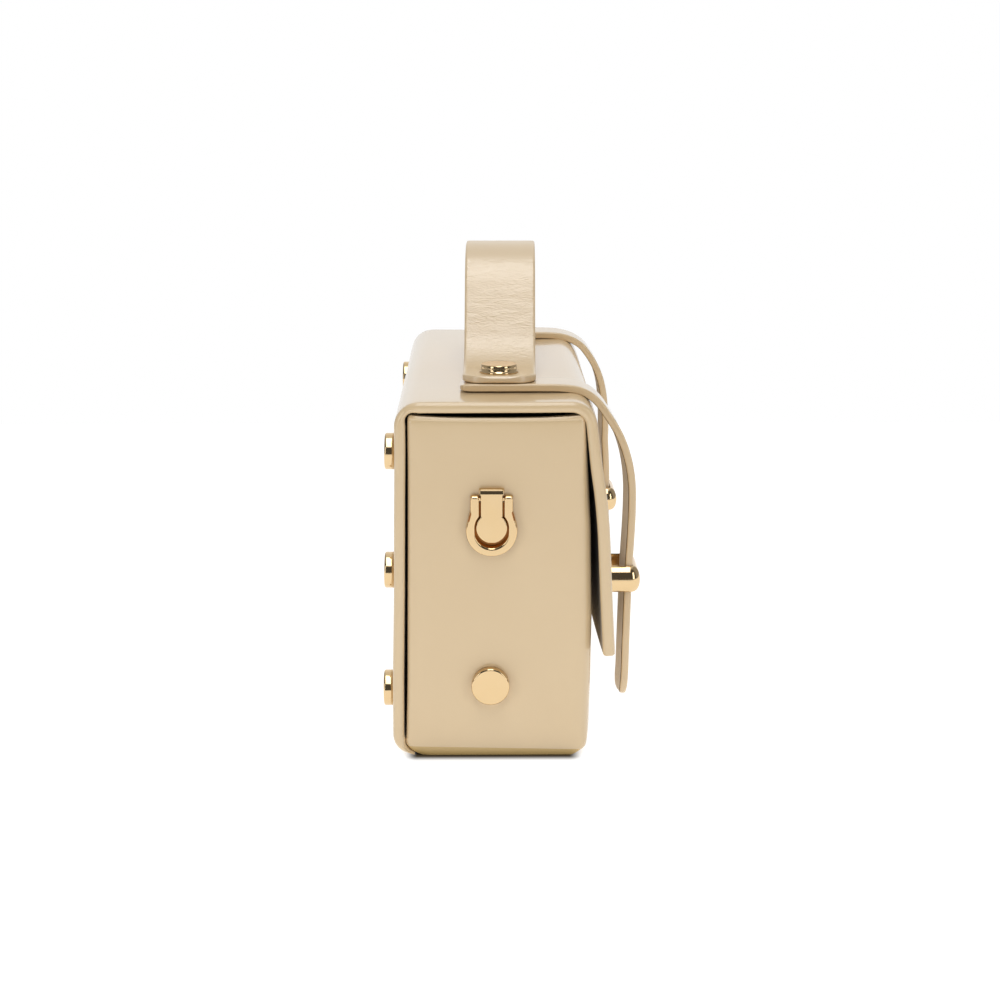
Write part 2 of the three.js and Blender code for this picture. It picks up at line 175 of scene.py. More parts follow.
class Finish(Plan):
    """A material with one Principled shader."""

    def __init__(self, name, **constants):
        self.material = bpy.data.materials.new(name)
        self.material.use_nodes = True
        super().__init__(self.material.node_tree)
        self.shader = self.tree.nodes["Principled BSDF"]
        self.set(**constants)

    def set(self, **values):
        for name, value in values.items():
            self.join(self.shader.inputs[name.replace("_", " ").title().replace("Ior", "IOR")], value)

    def place(self):
        return self.add("ShaderNodeTexCoord", out="Object")

    def grain(self, where, scale, detail=2.0, roughness=0.5):
        sockets = {"Vector": where, "Scale": scale, "Detail": detail, "Roughness": roughness}
        return self.add("ShaderNodeTexNoise", None, sockets)

    def bump(self, height, strength, distance, below=None):
        sockets = {"Height": height, "Strength": strength, "Distance": distance}
        if below is not None:
            sockets["Normal"] = below
        return self.add("ShaderNodeBump", None, sockets)


print("node helpers ready")

# %% [markdown]
# ## The studio
# The bag stands on a white table before a white backdrop, with a soft light overhead and a tall
# soft box on each side of the camera. The room behind the camera is dim. Polished metal shows
# all of this, so the studio is what makes the gold look like gold: pale where it mirrors the
# table, almost black where it mirrors the room, white where it mirrors a soft box.

# %% World
scene = bpy.context.scene
scene.view_settings.view_transform = "Standard"

ROOM = 0.08
BACKDROP = 0.98
BACKDROP_FROM = -0.6
BACKDROP_SIDES = 0.35
SIDES_FROM = 0.2
SIDES_TO = 0.65
BACKDROP_TOP = 0.85
TOP_FROM = 0.5
TOP_TO = 0.85
CEILING = 0.1
CEILING_FROM = 0.35
CEILING_TO = 0.8
WHITE = (1, 1, 1, 1)
BLACK = (0, 0, 0, 1)

world = bpy.data.worlds.new("studio")
world.use_nodes = True
scene.world = world
studio = Plan(world.node_tree)
ahead, aside, height = studio.parts(studio.add("ShaderNodeTexCoord", out="Generated"))
backdrop = studio.ease(ahead, BACKDROP_FROM, 0.0, ROOM, BACKDROP)
aside = studio.maths("ABSOLUTE", aside)
backdrop = backdrop * studio.ease(aside, SIDES_FROM, SIDES_TO, 1.0, BACKDROP_SIDES)
backdrop = backdrop * studio.ease(height, TOP_FROM, TOP_TO, 1.0, BACKDROP_TOP)
ceiling = studio.ease(height, CEILING_FROM, CEILING_TO, 0.0, CEILING)
seen = studio.add("ShaderNodeLightPath", out="Is Camera Ray")
brightness = studio.maths("MAXIMUM", studio.maths("MAXIMUM", backdrop, ceiling), seen)
sky = world.node_tree.nodes["Background"]
studio.join(sky.inputs["Strength"], brightness)
studio.join(sky.inputs["Color"], WHITE)
print("world has", len(world.node_tree.nodes), "nodes")

# %% [markdown]
# The overhead soft box hangs between the camera and the bag. The two beside the camera are tall and
# narrow, because a rounded metal edge mirrors such a box as a thin upright line.

# %% Soft boxes
AIM = Vector((0.0, 0.0, 0.08))


def soft_box(name, place, width, tall, power):
    data = bpy.data.lights.new(name, "AREA")
    data.shape = "RECTANGLE"
    data.size = width
    data.size_y = tall
    data.energy = power
    lamp = bpy.data.objects.new(name, data)
    lamp.location = place
    lamp.rotation_euler = (AIM - Vector(place)).to_track_quat("-Z", "Y").to_euler()
    scene.collection.objects.link(lamp)


soft_box("overhead", place=(-0.486, 0.0, 1.122), width=0.45, tall=1.3, power=5.6)
for title, over in (("side_left", 0.75), ("side_right", -0.75)):
    soft_box(title, place=(-0.8, over, 0.34), width=0.32, tall=0.62, power=1.7)

# %% [markdown]
# The table is a mid grey that a glow lifts to white, up to a painted contact shadow: a narrow dark
# line where the bag stands, where the colour darkens and the glow fades out.
# How far a point lies from the foot of the bag decides both its colour and its glow. Towards the
# camera the glow is a little weaker.

# %% Table
FLOOR_FRONT = -0.78
FLOOR_BACK = 0.6
FLOOR_SIDE = 0.9
FLOOR_Z = -0.0002
CONTACT_FADE = 0.0065
FOOT_END = 0.0998
FOOT_MIDDLE = 0.0012
FOOT_SIDE = 0.0305
FLOOR_GLOW = 0.86
FRONT_GLOW = 0.88
FRONT_GLOW_TO = -0.50
FULL_GLOW_FROM = -0.33
TABLE = (0.4, 0.4, 0.4, 1)
TABLE_SHADED = (0.09, 0.07, 0.045, 1)
floor_corners = ((FLOOR_FRONT, -1), (FLOOR_BACK, -1), (FLOOR_BACK, 1), (FLOOR_FRONT, 1))
floor_mesh = bpy.data.meshes.new("floor")
floor_mesh.from_pydata([(x, side * FLOOR_SIDE, FLOOR_Z) for x, side in floor_corners], [], [(0, 1, 2, 3)])
floor = bpy.data.objects.new("floor", floor_mesh)
scene.collection.objects.link(floor)
table_top = Finish("table_top", roughness=0.9, specular_ior_level=0.0)
spot, over, _ = table_top.parts(table_top.place())
past_end = table_top.maths("MAXIMUM", table_top.maths("ABSOLUTE", spot) - FOOT_END, 0.0)
past_side = table_top.maths("MAXIMUM", table_top.maths("ABSOLUTE", over - FOOT_MIDDLE) - FOOT_SIDE, 0.0)
away = table_top.maths("SQRT", past_end * past_end + past_side * past_side)
beyond_painted_shadow = table_top.ease(away, 0.0, CONTACT_FADE)
glow = beyond_painted_shadow * table_top.ease(spot, FRONT_GLOW_TO, FULL_GLOW_FROM, FRONT_GLOW, 1.0)
# Painted contact shadow: near the bag's foot the table's colour darkens and its glow fades out.
table_top.set(
    base_color=table_top.blend(beyond_painted_shadow, TABLE_SHADED, TABLE),
    emission_color=table_top.blend(glow, BLACK, WHITE),
    emission_strength=FLOOR_GLOW,
)
floor_mesh.materials.append(table_top.material)
print("made", table_top.material.name)

# %% [markdown]
# ## The leather
# The leather is smooth, finished with a clear gloss that still shows a very fine grain. A flat
# beige would look like plastic. So the colour drifts a little over the hide, the gloss changes
# with it, and two layers of bump give the pores and the slight unevenness under the finish.

# %% Leather
LEATHER = (0.725, 0.542, 0.316, 1)
LEATHER_PALE = (0.765, 0.585, 0.355, 1)
# The fold along the base is a darker copy of the leather: painted shade where it faces the floor.
SHADED_FOLD_LEATHER = (0.600, 0.405, 0.150, 1)
SHADED_FOLD_PALE = (0.680, 0.475, 0.190, 1)
DRIFT_SCALE = 28.0
UNEVEN_SCALE = 210.0
PORE_SCALE = 2600.0
PORE_STRENGTH = 0.10


def leather_finish(name, dark, pale, pore_strength):
    """A leather, and the normal of its grain."""
    finish = Finish(name, coat_weight=0.8, coat_roughness=0.07)
    place = finish.place()
    drift = finish.grain(place, DRIFT_SCALE, 3.0)
    pores = finish.grain(place, PORE_SCALE, 2.0, 0.6)
    finish.set(base_color=finish.blend(drift, dark, pale), roughness=0.25 + drift * 0.08 + pores * 0.05)
    uneven = finish.bump(finish.grain(place, UNEVEN_SCALE, 3.0), 0.16, 0.0006)
    return finish, finish.bump(pores, pore_strength, 0.0002, uneven)


leather, leather_normal = leather_finish("beige_leather", LEATHER, LEATHER_PALE, PORE_STRENGTH)
leather.set(normal=leather_normal)
shaded_fold_leather, fold_normal = leather_finish("shaded_fold_leather", SHADED_FOLD_LEATHER, SHADED_FOLD_PALE, PORE_STRENGTH)
shaded_fold_leather.set(normal=fold_normal)
print("made", leather.material.name, shaded_fold_leather.material.name)

# %% [markdown]
# ## Creased leather
# The handle was bent into its arch when it was made, so its finish is creased across the strap.
# The creases follow the strap, not the room: the strap's mesh carries how far along and how far
# across each point lies, and the noise is stretched across the strap by those two. Two such
# noises, one of them skewed, cross each other as real creases do.

# %% Creased leather
HANDLE_IOR = 2.2
HANDLE_PORES = 0.02
CREASE_STRETCH = 0.30
CREASE_ROUGH = 0.55
CREASE_NOISES = ((820.0, 0.0), (900.0, 0.4))
CREASE_HEIGHT = 0.00030
creased, creased_normal = leather_finish("creased_leather", LEATHER, LEATHER_PALE, HANDLE_PORES)
along, across, creased_part = [
    creased.add("ShaderNodeAttribute", {"attribute_name": title}, out="Fac")
    for title in ("along", "across", "creased")
]
folds = 0.0
for scale, skew in CREASE_NOISES:
    skewed = across * CREASE_STRETCH + along * skew
    strap_place = creased.add("ShaderNodeCombineXYZ", None, {"X": skewed, "Y": along})
    lines = creased.grain(strap_place, scale, 2.0, CREASE_ROUGH)
    folds = folds + creased.maths("ABSOLUTE", lines - 0.5)
creased.set(normal=creased.bump(folds * creased_part, 1.0, CREASE_HEIGHT, creased_normal))
creased.set(coat_weight=0.0, ior=HANDLE_IOR)
print("made", creased.material.name)

# %% [markdown]
# ## Lining and seam
# The belts and the flap are lined with a grey-brown suede. It has no gloss at all, only a soft
# nap. Higher up inside the bag the lining is painted almost black, a painted shade that fades out
# towards the flap's hem. The belts' lining is a lit copy of the same suede, painted paler. Where the
# lining meets the leather there is a narrow dark line of edge paint.

# %% Lining and seam
LINING_DARK = (0.330, 0.286, 0.234, 1)
LINING_PALE = (0.480, 0.430, 0.360, 1)
LINING_SHADE = (0.050, 0.037, 0.026, 1)
LIT_BELOW_Z = 0.050
SHADE_FROM_Z = 0.085
# The belts' lining is the same suede painted much paler: a lit copy, painted light.
LIT_BELT_LINING_DARK = (0.700, 0.630, 0.545, 1)
LIT_BELT_LINING_PALE = (0.880, 0.820, 0.725, 1)
SEAM = (0.135, 0.080, 0.038, 1)
SEAM_PALE = (0.21, 0.13, 0.07, 1)


def suede(name, dark, pale, sheen):
    """A suede, and the colour of its nap."""
    finish = Finish(name, roughness=0.95, specular_ior_level=0.1, sheen_weight=sheen)
    nap = finish.grain(finish.place(), 1900.0, 4.0, 0.7)
    finish.set(normal=finish.bump(nap, 0.35, 0.0004))
    return finish, finish.blend(nap, dark, pale)


lining, lining_colour = suede("suede_lining", LINING_DARK, LINING_PALE, 0.05)
# Painted shade: the lining darkens to near black higher up inside the bag.
inside = lining.ease(lining.parts(lining.place())[2], LIT_BELOW_Z, SHADE_FROM_Z)
lining.set(base_color=lining.blend(inside, lining_colour, LINING_SHADE))
lit_belt_lining, lit_belt_lining_colour = suede("lit_belt_lining", LIT_BELT_LINING_DARK, LIT_BELT_LINING_PALE, 0.3)
lit_belt_lining.set(base_color=lit_belt_lining_colour)

seam = Finish("edge_paint", specular_ior_level=0.4)
runs = seam.grain(seam.place(), 420.0)
seam.set(base_color=seam.blend(runs, SEAM, SEAM_PALE), roughness=0.45 + runs * 0.2)
print("made", lining.material.name, lit_belt_lining.material.name, seam.material.name)

# %% [markdown]
# ## Gold
# The metal is plated and polished. A mirror with one roughness looks computed, so the gloss
# varies by a little, as plating does, and a faint bump bends the reflections. A second, dark brown
# gold is painted shade and painted reflection: it colours the plate under each ring, which lies in
# shade in the ring's opening, and the ring's notches, where the shoulder mirrors the dim room.

# %% Gold
GOLD = (0.735, 0.530, 0.285, 1)
GOLD_PALE = (0.760, 0.566, 0.330, 1)
SHADED_GOLD = (0.340, 0.125, 0.032, 1)
SHADED_PALE = (0.420, 0.165, 0.048, 1)

gold = Finish("pale_gold", metallic=1.0)
plating = gold.grain(gold.place(), 160.0, 3.0)
wipes = gold.grain(gold.place(), 1500.0, 2.0)
gold.set(base_color=gold.blend(plating, GOLD, GOLD_PALE), roughness=0.07 + plating * 0.06 + wipes * 0.03)
gold.set(normal=gold.bump(plating, 0.05, 0.0004))

# Painted shade and painted dark reflection: a dark brown gold for the shaded plate and the ring's notches.
painted_shade_gold = Finish("shaded_gold", metallic=1.0)
shade_mottle = painted_shade_gold.grain(painted_shade_gold.place(), 600.0, 2.0)
painted_shade_gold.set(base_color=painted_shade_gold.blend(shade_mottle, SHADED_GOLD, SHADED_PALE), roughness=0.32 + shade_mottle * 0.1)
print("made", gold.material.name, painted_shade_gold.material.name)

# %% [markdown]
# ## From rows of points to a piece
# Most of the leather pieces are lofts: a closed loop of points, repeated with small changes, and
# skinned with quads. Blender has modifiers for that, but a loft written out keeps each edge where
# the maker folded the leather, and lets each column of faces have its own material.

# %% Loft helpers
MERGE = 2e-6
CUTS_PER_SPAN = 24


def loft(rows):
    """Quads between closed loops of the same length, with a cap at both ends."""
    count = len(rows[0])
    points = [tuple(p) for row in rows for p in row]
    faces = []
    for row in range(len(rows) - 1):
        for k in range(count):
            here = row * count + k
            beside = row * count + (k + 1) % count
            faces.append((here, beside, beside + count, here + count))
    last = (len(rows) - 1) * count
    faces.append(tuple(reversed(range(count))))
    faces.append(tuple(range(last, last + count)))
    return points, faces


def add_loft(points, faces, rows):
    """Adds one more loft to the points and faces of another."""
    first = len(points)
    more_points, more_faces = loft(rows)
    points += more_points
    faces += [tuple(first + i for i in face) for face in more_faces]


def turn_out(mesh):
    """Merges doubled points and turns every face outwards."""
    shape = bmesh.new()
    shape.from_mesh(mesh)
    bmesh.ops.remove_doubles(shape, verts=shape.verts, dist=MERGE)
    bmesh.ops.recalc_face_normals(shape, faces=shape.faces)
    shape.to_mesh(mesh)
    shape.free()


def settle(obj, body, nodes, crisp=40):
    """Finishes a piece: smooth shading with crisp folds, then its place in the frame."""
    mesh = obj.data
    mesh.polygons.foreach_set("use_smooth", [True] * len(mesh.polygons))
    mesh.set_sharp_from_angle(angle=math.radians(crisp))
    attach(obj, body)
    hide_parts(*nodes)
    print(obj.name, "faces", len(mesh.polygons), "for", len(nodes), "nodes")


def make_piece(name, points, faces, materials):
    mesh = bpy.data.meshes.new(name)
    mesh.from_pydata([Vector(p) * MM for p in points], [], faces)
    for finish in materials:
        mesh.materials.append(finish.material)
    obj = bpy.data.objects.new(name, mesh)
    scene.collection.objects.link(obj)
    return obj


def paint(obj, faces, finish):
    """Gives some faces another finish, by its place in the piece's list."""
    for face in faces:
        obj.data.polygons[face].material_index = finish


def arc(centre, radius, start, end, steps):
    turns = np.radians(np.linspace(start, end, steps + 1))
    return [(centre[0] + radius * math.cos(t), centre[1] + radius * math.sin(t)) for t in turns]


def smooth_line(points, step):
    """A line through the points, without corners, cut into equal steps."""
    p = np.array(points, float)
    p = np.vstack([2 * p[0] - p[1], p, 2 * p[-1] - p[-2]])
    dense = []
    for a, b, c, d in zip(p, p[1:], p[2:], p[3:]):
        t1 = math.sqrt(np.linalg.norm(b - a))
        t2 = t1 + math.sqrt(np.linalg.norm(c - b))
        t3 = t2 + math.sqrt(np.linalg.norm(d - c))
        for t in np.linspace(t1, t2, CUTS_PER_SPAN, endpoint=False):
            ab = a * (t1 - t) / t1 + b * t / t1
            bc = b * (t2 - t) / (t2 - t1) + c * (t - t1) / (t2 - t1)
            cd = c * (t3 - t) / (t3 - t2) + d * (t - t2) / (t3 - t2)
            abc = ab * (t2 - t) / t2 + bc * t / t2
            bcd = bc * (t3 - t) / (t3 - t1) + cd * (t - t1) / (t3 - t1)
            dense.append(abc * (t2 - t) / (t2 - t1) + bcd * (t - t1) / (t2 - t1))
    dense.append(p[-2])
    dense = np.array(dense)
    run = np.concatenate([[0], np.cumsum(np.linalg.norm(np.diff(dense, axis=0), axis=1))])
    places = np.linspace(0, run[-1], max(2, round(run[-1] / step)) + 1)
    return np.stack([np.interp(places, run, dense[:, i]) for i in range(dense.shape[1])], axis=1)


def draw_in(radius, distance):
    """How far a rounded edge has drawn in, this far from its end."""
    if distance >= radius:
        return 0.0
    return radius - math.sqrt(radius**2 - (radius - distance) ** 2)


print("loft helpers ready")

# %% [markdown]
# ## The wrap
# One leather panel, turned over a board, runs from under the base up the back, over the lid and
# down the front as the flap. Its line is known in the end view, so the wrap is that line with a
# thickness. The wall is skived thin where it starts under the base, and the flap is the thickest.

# %% Wrap line
HALF = 100.0
WRAP_WALL = 4.4
FLAP_WALL = 4.9
SKIVED = 0.6
FULL_WALL_AT = 9.0
FLAP_FROM = 258.0
FLAP_GROWS = 30.0
WRAP_STEP = 1.4
HEM_ROUND = 1.3
HEM_STEPS = 8
HEM_GAP = 0.3
CORNER_THIN = 1.3
CORNER_Y = 29.5
CORNER_Z = 134.5
wrap_line = smooth_line(
    arc((33.4, 8.35), 8.0, -94, 0, 10)
    + [(41.35, 18.0), (41.3, 28.0), (40.85, 52.0), (40.4, 76.0), (40.0, 105.0), (39.65, 125.0)]
    + arc((29.6, 134.4), 10.0, 0, 90, 10)
    + [(15.0, 144.45), (0.0, 144.5), (-15.0, 144.55)]
    + arc((-29.5, 134.6), 10.0, 90, 172, 10)
    + [(-41.8, 117.9), (-43.5, 107.0), (-44.8, 93.8), (-46.1, 69.3), (-47.7, 41.6)],
    WRAP_STEP,
)
wrap_run = np.concatenate([[0], np.cumsum(np.linalg.norm(np.diff(wrap_line, axis=0), axis=1))])
wrap_length = wrap_run[-1]
hem_run = wrap_length - HEM_ROUND * (1 - np.sin(np.linspace(0, math.pi / 2, HEM_STEPS)))
places = np.concatenate([wrap_run[wrap_run < hem_run[0] - HEM_GAP], hem_run])
wrap_line = np.stack([np.interp(places, wrap_run, wrap_line[:, i]) for i in (0, 1)], axis=1)
wrap_run = places
wrap_wall = np.interp(
    wrap_run,
    [0, FULL_WALL_AT, FLAP_FROM - FLAP_GROWS, FLAP_FROM, wrap_length],
    [SKIVED, WRAP_WALL, WRAP_WALL, FLAP_WALL, FLAP_WALL],
)
over_corner = np.maximum(wrap_line[:, 1] - CORNER_Z, 0)
past_corner = np.maximum(wrap_line[:, 0] - CORNER_Y, 0)
wrap_wall -= CORNER_THIN * np.sin(2 * np.arctan2(over_corner, past_corner + 1e-6)) ** 2
wrap_along = np.gradient(wrap_line, wrap_run, axis=0)
wrap_along /= np.linalg.norm(wrap_along, axis=1)[:, None]
wrap_inward = np.stack([-wrap_along[:, 1], wrap_along[:, 0]], axis=1)
print("wrap line", round(wrap_length, 1), "mm in", len(wrap_line), "points")

# %% [markdown]
# The line is lofted along the bag. The rows at both ends draw in, which rounds the turned edge. The
# lid bows up a little, as a board that is held at its ends does, and the flap's hem bows in.

# %% Wrap
WRAP_EDGE = 2.0
EDGE_ROWS = 9
MIDDLE_ROWS = 38
MIDDLE_MARGIN = 7
LEAST_WALL = 0.3
LID_BOW = 0.5
BOW_FROM_Z = 120
BOW_RUN = 20
FLAP_BOW = 2.0
WAVE = 0.16
WAVE_PER_X = 0.021
WAVE_PER_RUN = 0.024
WAVE_SEED = 3.7
HEM_COLUMNS = 4
SKIVED_COLUMNS = 8


def wrap_row(x):
    edge = draw_in(WRAP_EDGE, HALF - abs(x))
    middle = 1 - (x / HALF) ** 2
    outer, inner = [], []
    for place, wall, run, along_it, inward in zip(wrap_line, wrap_wall, wrap_run, wrap_along, wrap_inward):
        hem = draw_in(HEM_ROUND, wrap_length - run)
        inset = min(edge + hem, (wall - LEAST_WALL) / 2)
        start = place - along_it * edge * 0.5 * max(0.0, 1 - (wrap_length - run) / HEM_ROUND)
        rise = LID_BOW * middle * min(1.0, max(0.0, (place[1] - BOW_FROM_Z) / BOW_RUN))
        hollow = FLAP_BOW * middle * max(0.0, run - FLAP_FROM) / (wrap_length - FLAP_FROM)
        wave = WAVE * noise.noise(Vector((x * WAVE_PER_X, run * WAVE_PER_RUN, WAVE_SEED)))
        skin = start + inward * (inset + wave)
        under = start + inward * (wall - inset)
        outer.append((x, skin[0] + hollow, skin[1] + rise))
        inner.append((x, under[0] + hollow, under[1] + rise))
    return outer + inner[::-1]


edge_steps = [HALF - WRAP_EDGE * (1 - math.cos(t)) for t in np.linspace(0, math.pi / 2, EDGE_ROWS)]
middle_steps = np.linspace(-HALF + MIDDLE_MARGIN, HALF - MIDDLE_MARGIN, MIDDLE_ROWS)
stations = [-x for x in edge_steps] + list(middle_steps) + edge_steps[::-1]
wrap_points, wrap_faces = loft([wrap_row(x) for x in stations])
wrap_piece = make_piece("leather_wrap", wrap_points, wrap_faces, [leather, lining])
loop_length = 2 * len(wrap_line)
lined_rows = range(len(edge_steps) - 1, len(stations) - len(edge_steps))
lined_columns = range(len(wrap_line) + HEM_COLUMNS, loop_length - SKIVED_COLUMNS)
paint(wrap_piece, [row * loop_length + column for row in lined_rows for column in lined_columns], 1)
turn_out(wrap_piece.data)
settle(wrap_piece, "bag", ["wrap"])

# %% [markdown]
# ## The tray
# Under the lid sits an open box: front, two ends and base in one leather. It could be a cube with
# bevels, but its front leans out in the middle, its rim is folded over, and its base edge is a
# narrow slanted fold. So it is lofted too, from level loops with their own corners.

# %% Tray loop
TRAY_END = 99.2
TRAY_WALL = 2.5
TRAY_FLOOR = 2.6
RIM = 138.2
WALL_LEVELS = [0, 12, 28, 58, 94, 118, 132, 136.0, 137.2, 138.0, 138.2]
WALL_BACK = [36.3, 36.1, 35.6, 35.2, 34.75, 34.5, 34.5, 34.5, 34.4, 34.1, 33.8]
WALL_FRONT = [37.2, 37.5, 37.9, 38.3, 37.6, 36.2, 35.2, 34.9, 34.7, 34.3, 34.0]
UNDER_LEVELS = [0, 0.9, 1.6, 2.4, 3.9, 5.5, 7.5]
UNDER_BACK = [5.4, 2.9, 1.6, 0.6, -0.35, -0.45, 0]
BACK_CORNER = 1.7
BEND_RUN = 6.0
BEND_DROP = 0.6
CORNER_LEVELS = [0, 4, 12, 112, 128, 136]
FRONT_CORNERS = [2.2, 3.2, 6.5, 6.0, 3.0, 2.0]
LEAST_CORNER = 0.8
FRONT_LEVELS = [0, 0.3, 0.9, 1.6, 2.9, 3.6, 4.6, 8, 12]
FRONT_DROPS = [5.3, 4.8, 4.1, 3.3, 1.9, 1.2, 0.75, 0.25, 0]
FOLD = 3.0
FOLD_LEAN = 0.07
FOLD_SLANT = 0.020
FOLD_FADE = 10.0
RIM_CHAMFER = 0.8
RIM_SLOPE = 0.6
RIM_CREASE = 136.9
RIM_CREASE_DEPTH = 0.2
RIM_CREASE_WIDTH = 0.35
RIM_LIFT = 1.05
RIM_LIFT_RUN = 6
CORNER_CUTS = 12
LONG_SIDE = 20
SIDE_CUTS = 40


def tray_loop(z, inset, floor_at):
    rounded = z - floor_at
    back = np.interp(z, WALL_LEVELS, WALL_BACK) - inset - np.interp(rounded, UNDER_LEVELS, UNDER_BACK)
    front = np.interp(z, WALL_LEVELS, WALL_FRONT) - inset - np.interp(rounded, FRONT_LEVELS, FRONT_DROPS)
    fold = max(0.0, FOLD - rounded) * FOLD_LEAN
    slant = FOLD_SLANT * np.interp(z, [0, FOLD, FOLD_FADE], [0, 1, 0])
    crease = RIM_CREASE_DEPTH * math.exp(-(((z - RIM_CREASE) / RIM_CREASE_WIDTH) ** 2))
    end = TRAY_END - inset - fold - crease - RIM_SLOPE * max(0.0, RIM_CHAMFER - (RIM - z))
    lift = RIM_LIFT * np.interp(z, [RIM - RIM_LIFT_RUN, RIM], [0, 1]) ** 2
    back_corner = max(LEAST_CORNER, BACK_CORNER - inset)
    front_corner = max(LEAST_CORNER, np.interp(z, CORNER_LEVELS, FRONT_CORNERS) - inset)
    loop = []
    corners = [(1, back, back_corner, 0), (-1, back, back_corner, 90)]
    corners += [(-1, -front, front_corner, 180), (1, -front, front_corner, 270)]
    for side, y, radius, start in corners:
        centre = (side * (end - radius), y - math.copysign(radius, y))
        loop += arc(centre, radius, start, start + 90, CORNER_CUTS)
    dense = []
    for a, b in zip(loop, loop[1:] + loop[:1]):
        cuts = SIDE_CUTS if math.dist(a, b) > LONG_SIDE else 1
        dense += [tuple(np.array(a) + (np.array(b) - np.array(a)) * i / cuts) for i in range(cuts)]
    bend = [BEND_DROP * max(0.0, 1 - (back - y) / BEND_RUN) ** 2 for x, y in dense]
    return [
        (x - math.copysign(drop, x), y, z + slant * y + lift * abs(y / back) ** 3)
        for (x, y), drop in zip(dense, bend)
    ]


print("a loop has", len(tray_loop(RIM, 0, 0)), "points")

# %% [markdown]
# The loops climb the outside from the base to the rim, and go down again inside. The loops are
# closest where the leather turns: at the fold along the base and at the crease under the rim.

# %% Tray
outer_levels = [0, 0.15, 0.4, 0.9, 1.6, 2.4, 2.9, FOLD, 3.15, 3.6, 4.6, 5.5, 7, 10, 14, 22, 32, 44]
outer_levels += [58, 70, 82, 94, 106, 118, 127, 132, 134.5, 135.5, 136.2, 136.5, 136.75, RIM_CREASE]
outer_levels += [137.05, 137.3, RIM - RIM_CHAMFER, 137.45, 138.1, RIM]
inner_levels = [RIM, 138.0, 137.3, 132, 94, 58, 28, 12, 8, 5, 3.4, TRAY_FLOOR]
tray_rows = [tray_loop(z, 0, 0) for z in outer_levels]
tray_rows += [tray_loop(z, TRAY_WALL, TRAY_FLOOR) for z in inner_levels]
tray_points, tray_faces = loft(tray_rows)
tray_piece = make_piece("leather_tray", tray_points, tray_faces, [leather, lining, shaded_fold_leather])
columns = len(tray_rows[0])
# The fold along the base gets the darker leather copy: painted shade.
paint(tray_piece, range(outer_levels.index(FOLD) * columns), 2)
paint(tray_piece, range((len(outer_levels) + 1) * columns, len(tray_faces)), 1)
paint(tray_piece, [len(tray_faces) - 2], 0)
turn_out(tray_piece.data)
settle(tray_piece, "bag", ["tray"], crisp=50)

# %% [markdown]
# ## Straps along a path
# The handle, the belts and the metal keepers are one rule: a section carried along a line. Curve
# to Mesh does exactly that in Geometry Nodes. The section is drawn once, with its rounded edges
# and, on a belt, the groove where the lining starts. Whatever differs between straps is an input.

# %% Strap inputs


def tree_inputs(name, rows):
    tree = bpy.data.node_groups.new(name, "GeometryNodeTree")
    tree.interface.new_socket(name="Geometry", in_out="INPUT", socket_type="NodeSocketGeometry")
    sockets = {}
    for title, kind in rows:
        made = tree.interface.new_socket(name=title, in_out="INPUT", socket_type="NodeSocket" + kind)
        sockets[title] = made.identifier
    tree.interface.new_socket(name="Geometry", in_out="OUTPUT", socket_type="NodeSocketGeometry")
    return tree, sockets


STRAP_NUMBERS = ["Step", "Start Taper", "Start Width", "End Taper", "End Width", "Tip Round"]
STRAP_NUMBERS += ["Twist", "Twist From", "Crease Depth", "Crease From", "Crease To"]
strap_rows = [("Section", "Object"), ("Side", "Vector")]
strap_rows += [(title, "Float") for title in STRAP_NUMBERS]
strap_rows += [(title, "Material") for title in ("Face", "Lining", "Seam")]
strap_tree, strap_sockets = tree_inputs("strap", strap_rows)
print("strap tree takes", len(strap_sockets), "inputs")

# %% [markdown]
# Each point of the strap keeps how far along the path and how far across the section it lies. Those
# numbers are captured before Curve to Mesh, because they can't be told from the finished mesh.

# %% Path and section
g = Plan(strap_tree)
given = g.add("NodeGroupInput", out="Geometry")
path = g.add("GeometryNodeMeshToCurve", None, {"Mesh": given})
step = g.other(given, "Step")
path = g.add("GeometryNodeResampleCurve", {"mode": "LENGTH"}, {"Curve": path, "Length": step})
side = g.other(given, "Side")
path = g.add("GeometryNodeSetCurveNormal", {"mode": "FREE"}, {"Curve": path, "Normal": side})
reach = g.add("GeometryNodeSplineParameter", out="Length")
whole = g.add("GeometryNodeSplineLength", out="Length")
path = g.add(
    "GeometryNodeCaptureAttribute",
    {"captures": [("FLOAT", "along"), ("VECTOR", "ahead"), ("FLOAT", "whole")]},
    {"Geometry": path, "along": reach, "ahead": g.add("GeometryNodeInputTangent"), "whole": whole},
)
along = g.other(path, "along")
whole = g.other(path, "whole")
up = g.add("ShaderNodeVectorMath", {"operation": "CROSS_PRODUCT"}, {0: g.other(path, "ahead"), 1: side})
section = g.add("GeometryNodeObjectInfo", None, {"Object": g.other(given, "Section")}, out="Geometry")
section = g.add("GeometryNodeMeshToCurve", None, {"Mesh": section})
drawn_x, drawn_y, _ = g.parts(g.add("GeometryNodeInputPosition"))
section = g.add(
    "GeometryNodeCaptureAttribute",
    {"captures": [("FLOAT", "across"), ("FLOAT", "depth")]},
    {"Geometry": section, "across": drawn_x, "depth": drawn_y},
)
across = g.other(section, "across")
depth = g.other(section, "depth")
strap = g.add("GeometryNodeCurveToMesh", None, {"Curve": path, "Profile Curve": section, "Fill Caps": True})
print("strap tree has", len(strap_tree.nodes), "nodes so far")

# %% [markdown]
# The ends of a strap are cut to a rounded tip and thinned, and a strap may twist once along its way.
# Both are small moves of the points, sideways and up from the path.

# %% Tips and twist
TIP_LEAST = 0.4
TWIST_RUN = 0.040
start_share = g.maths("MINIMUM", along / g.other(given, "Start Taper"), 1.0)
end_share = g.maths("MINIMUM", (whole - along) / g.other(given, "End Taper"), 1.0)


def rounded(share, least):
    """Width from its least to 1, as a quarter circle does."""
    drop = 1.0 - g.maths("MAXIMUM", share, 0.0)
    return least + (1.0 - least) * g.maths("SQRT", 1.0 - drop * drop)


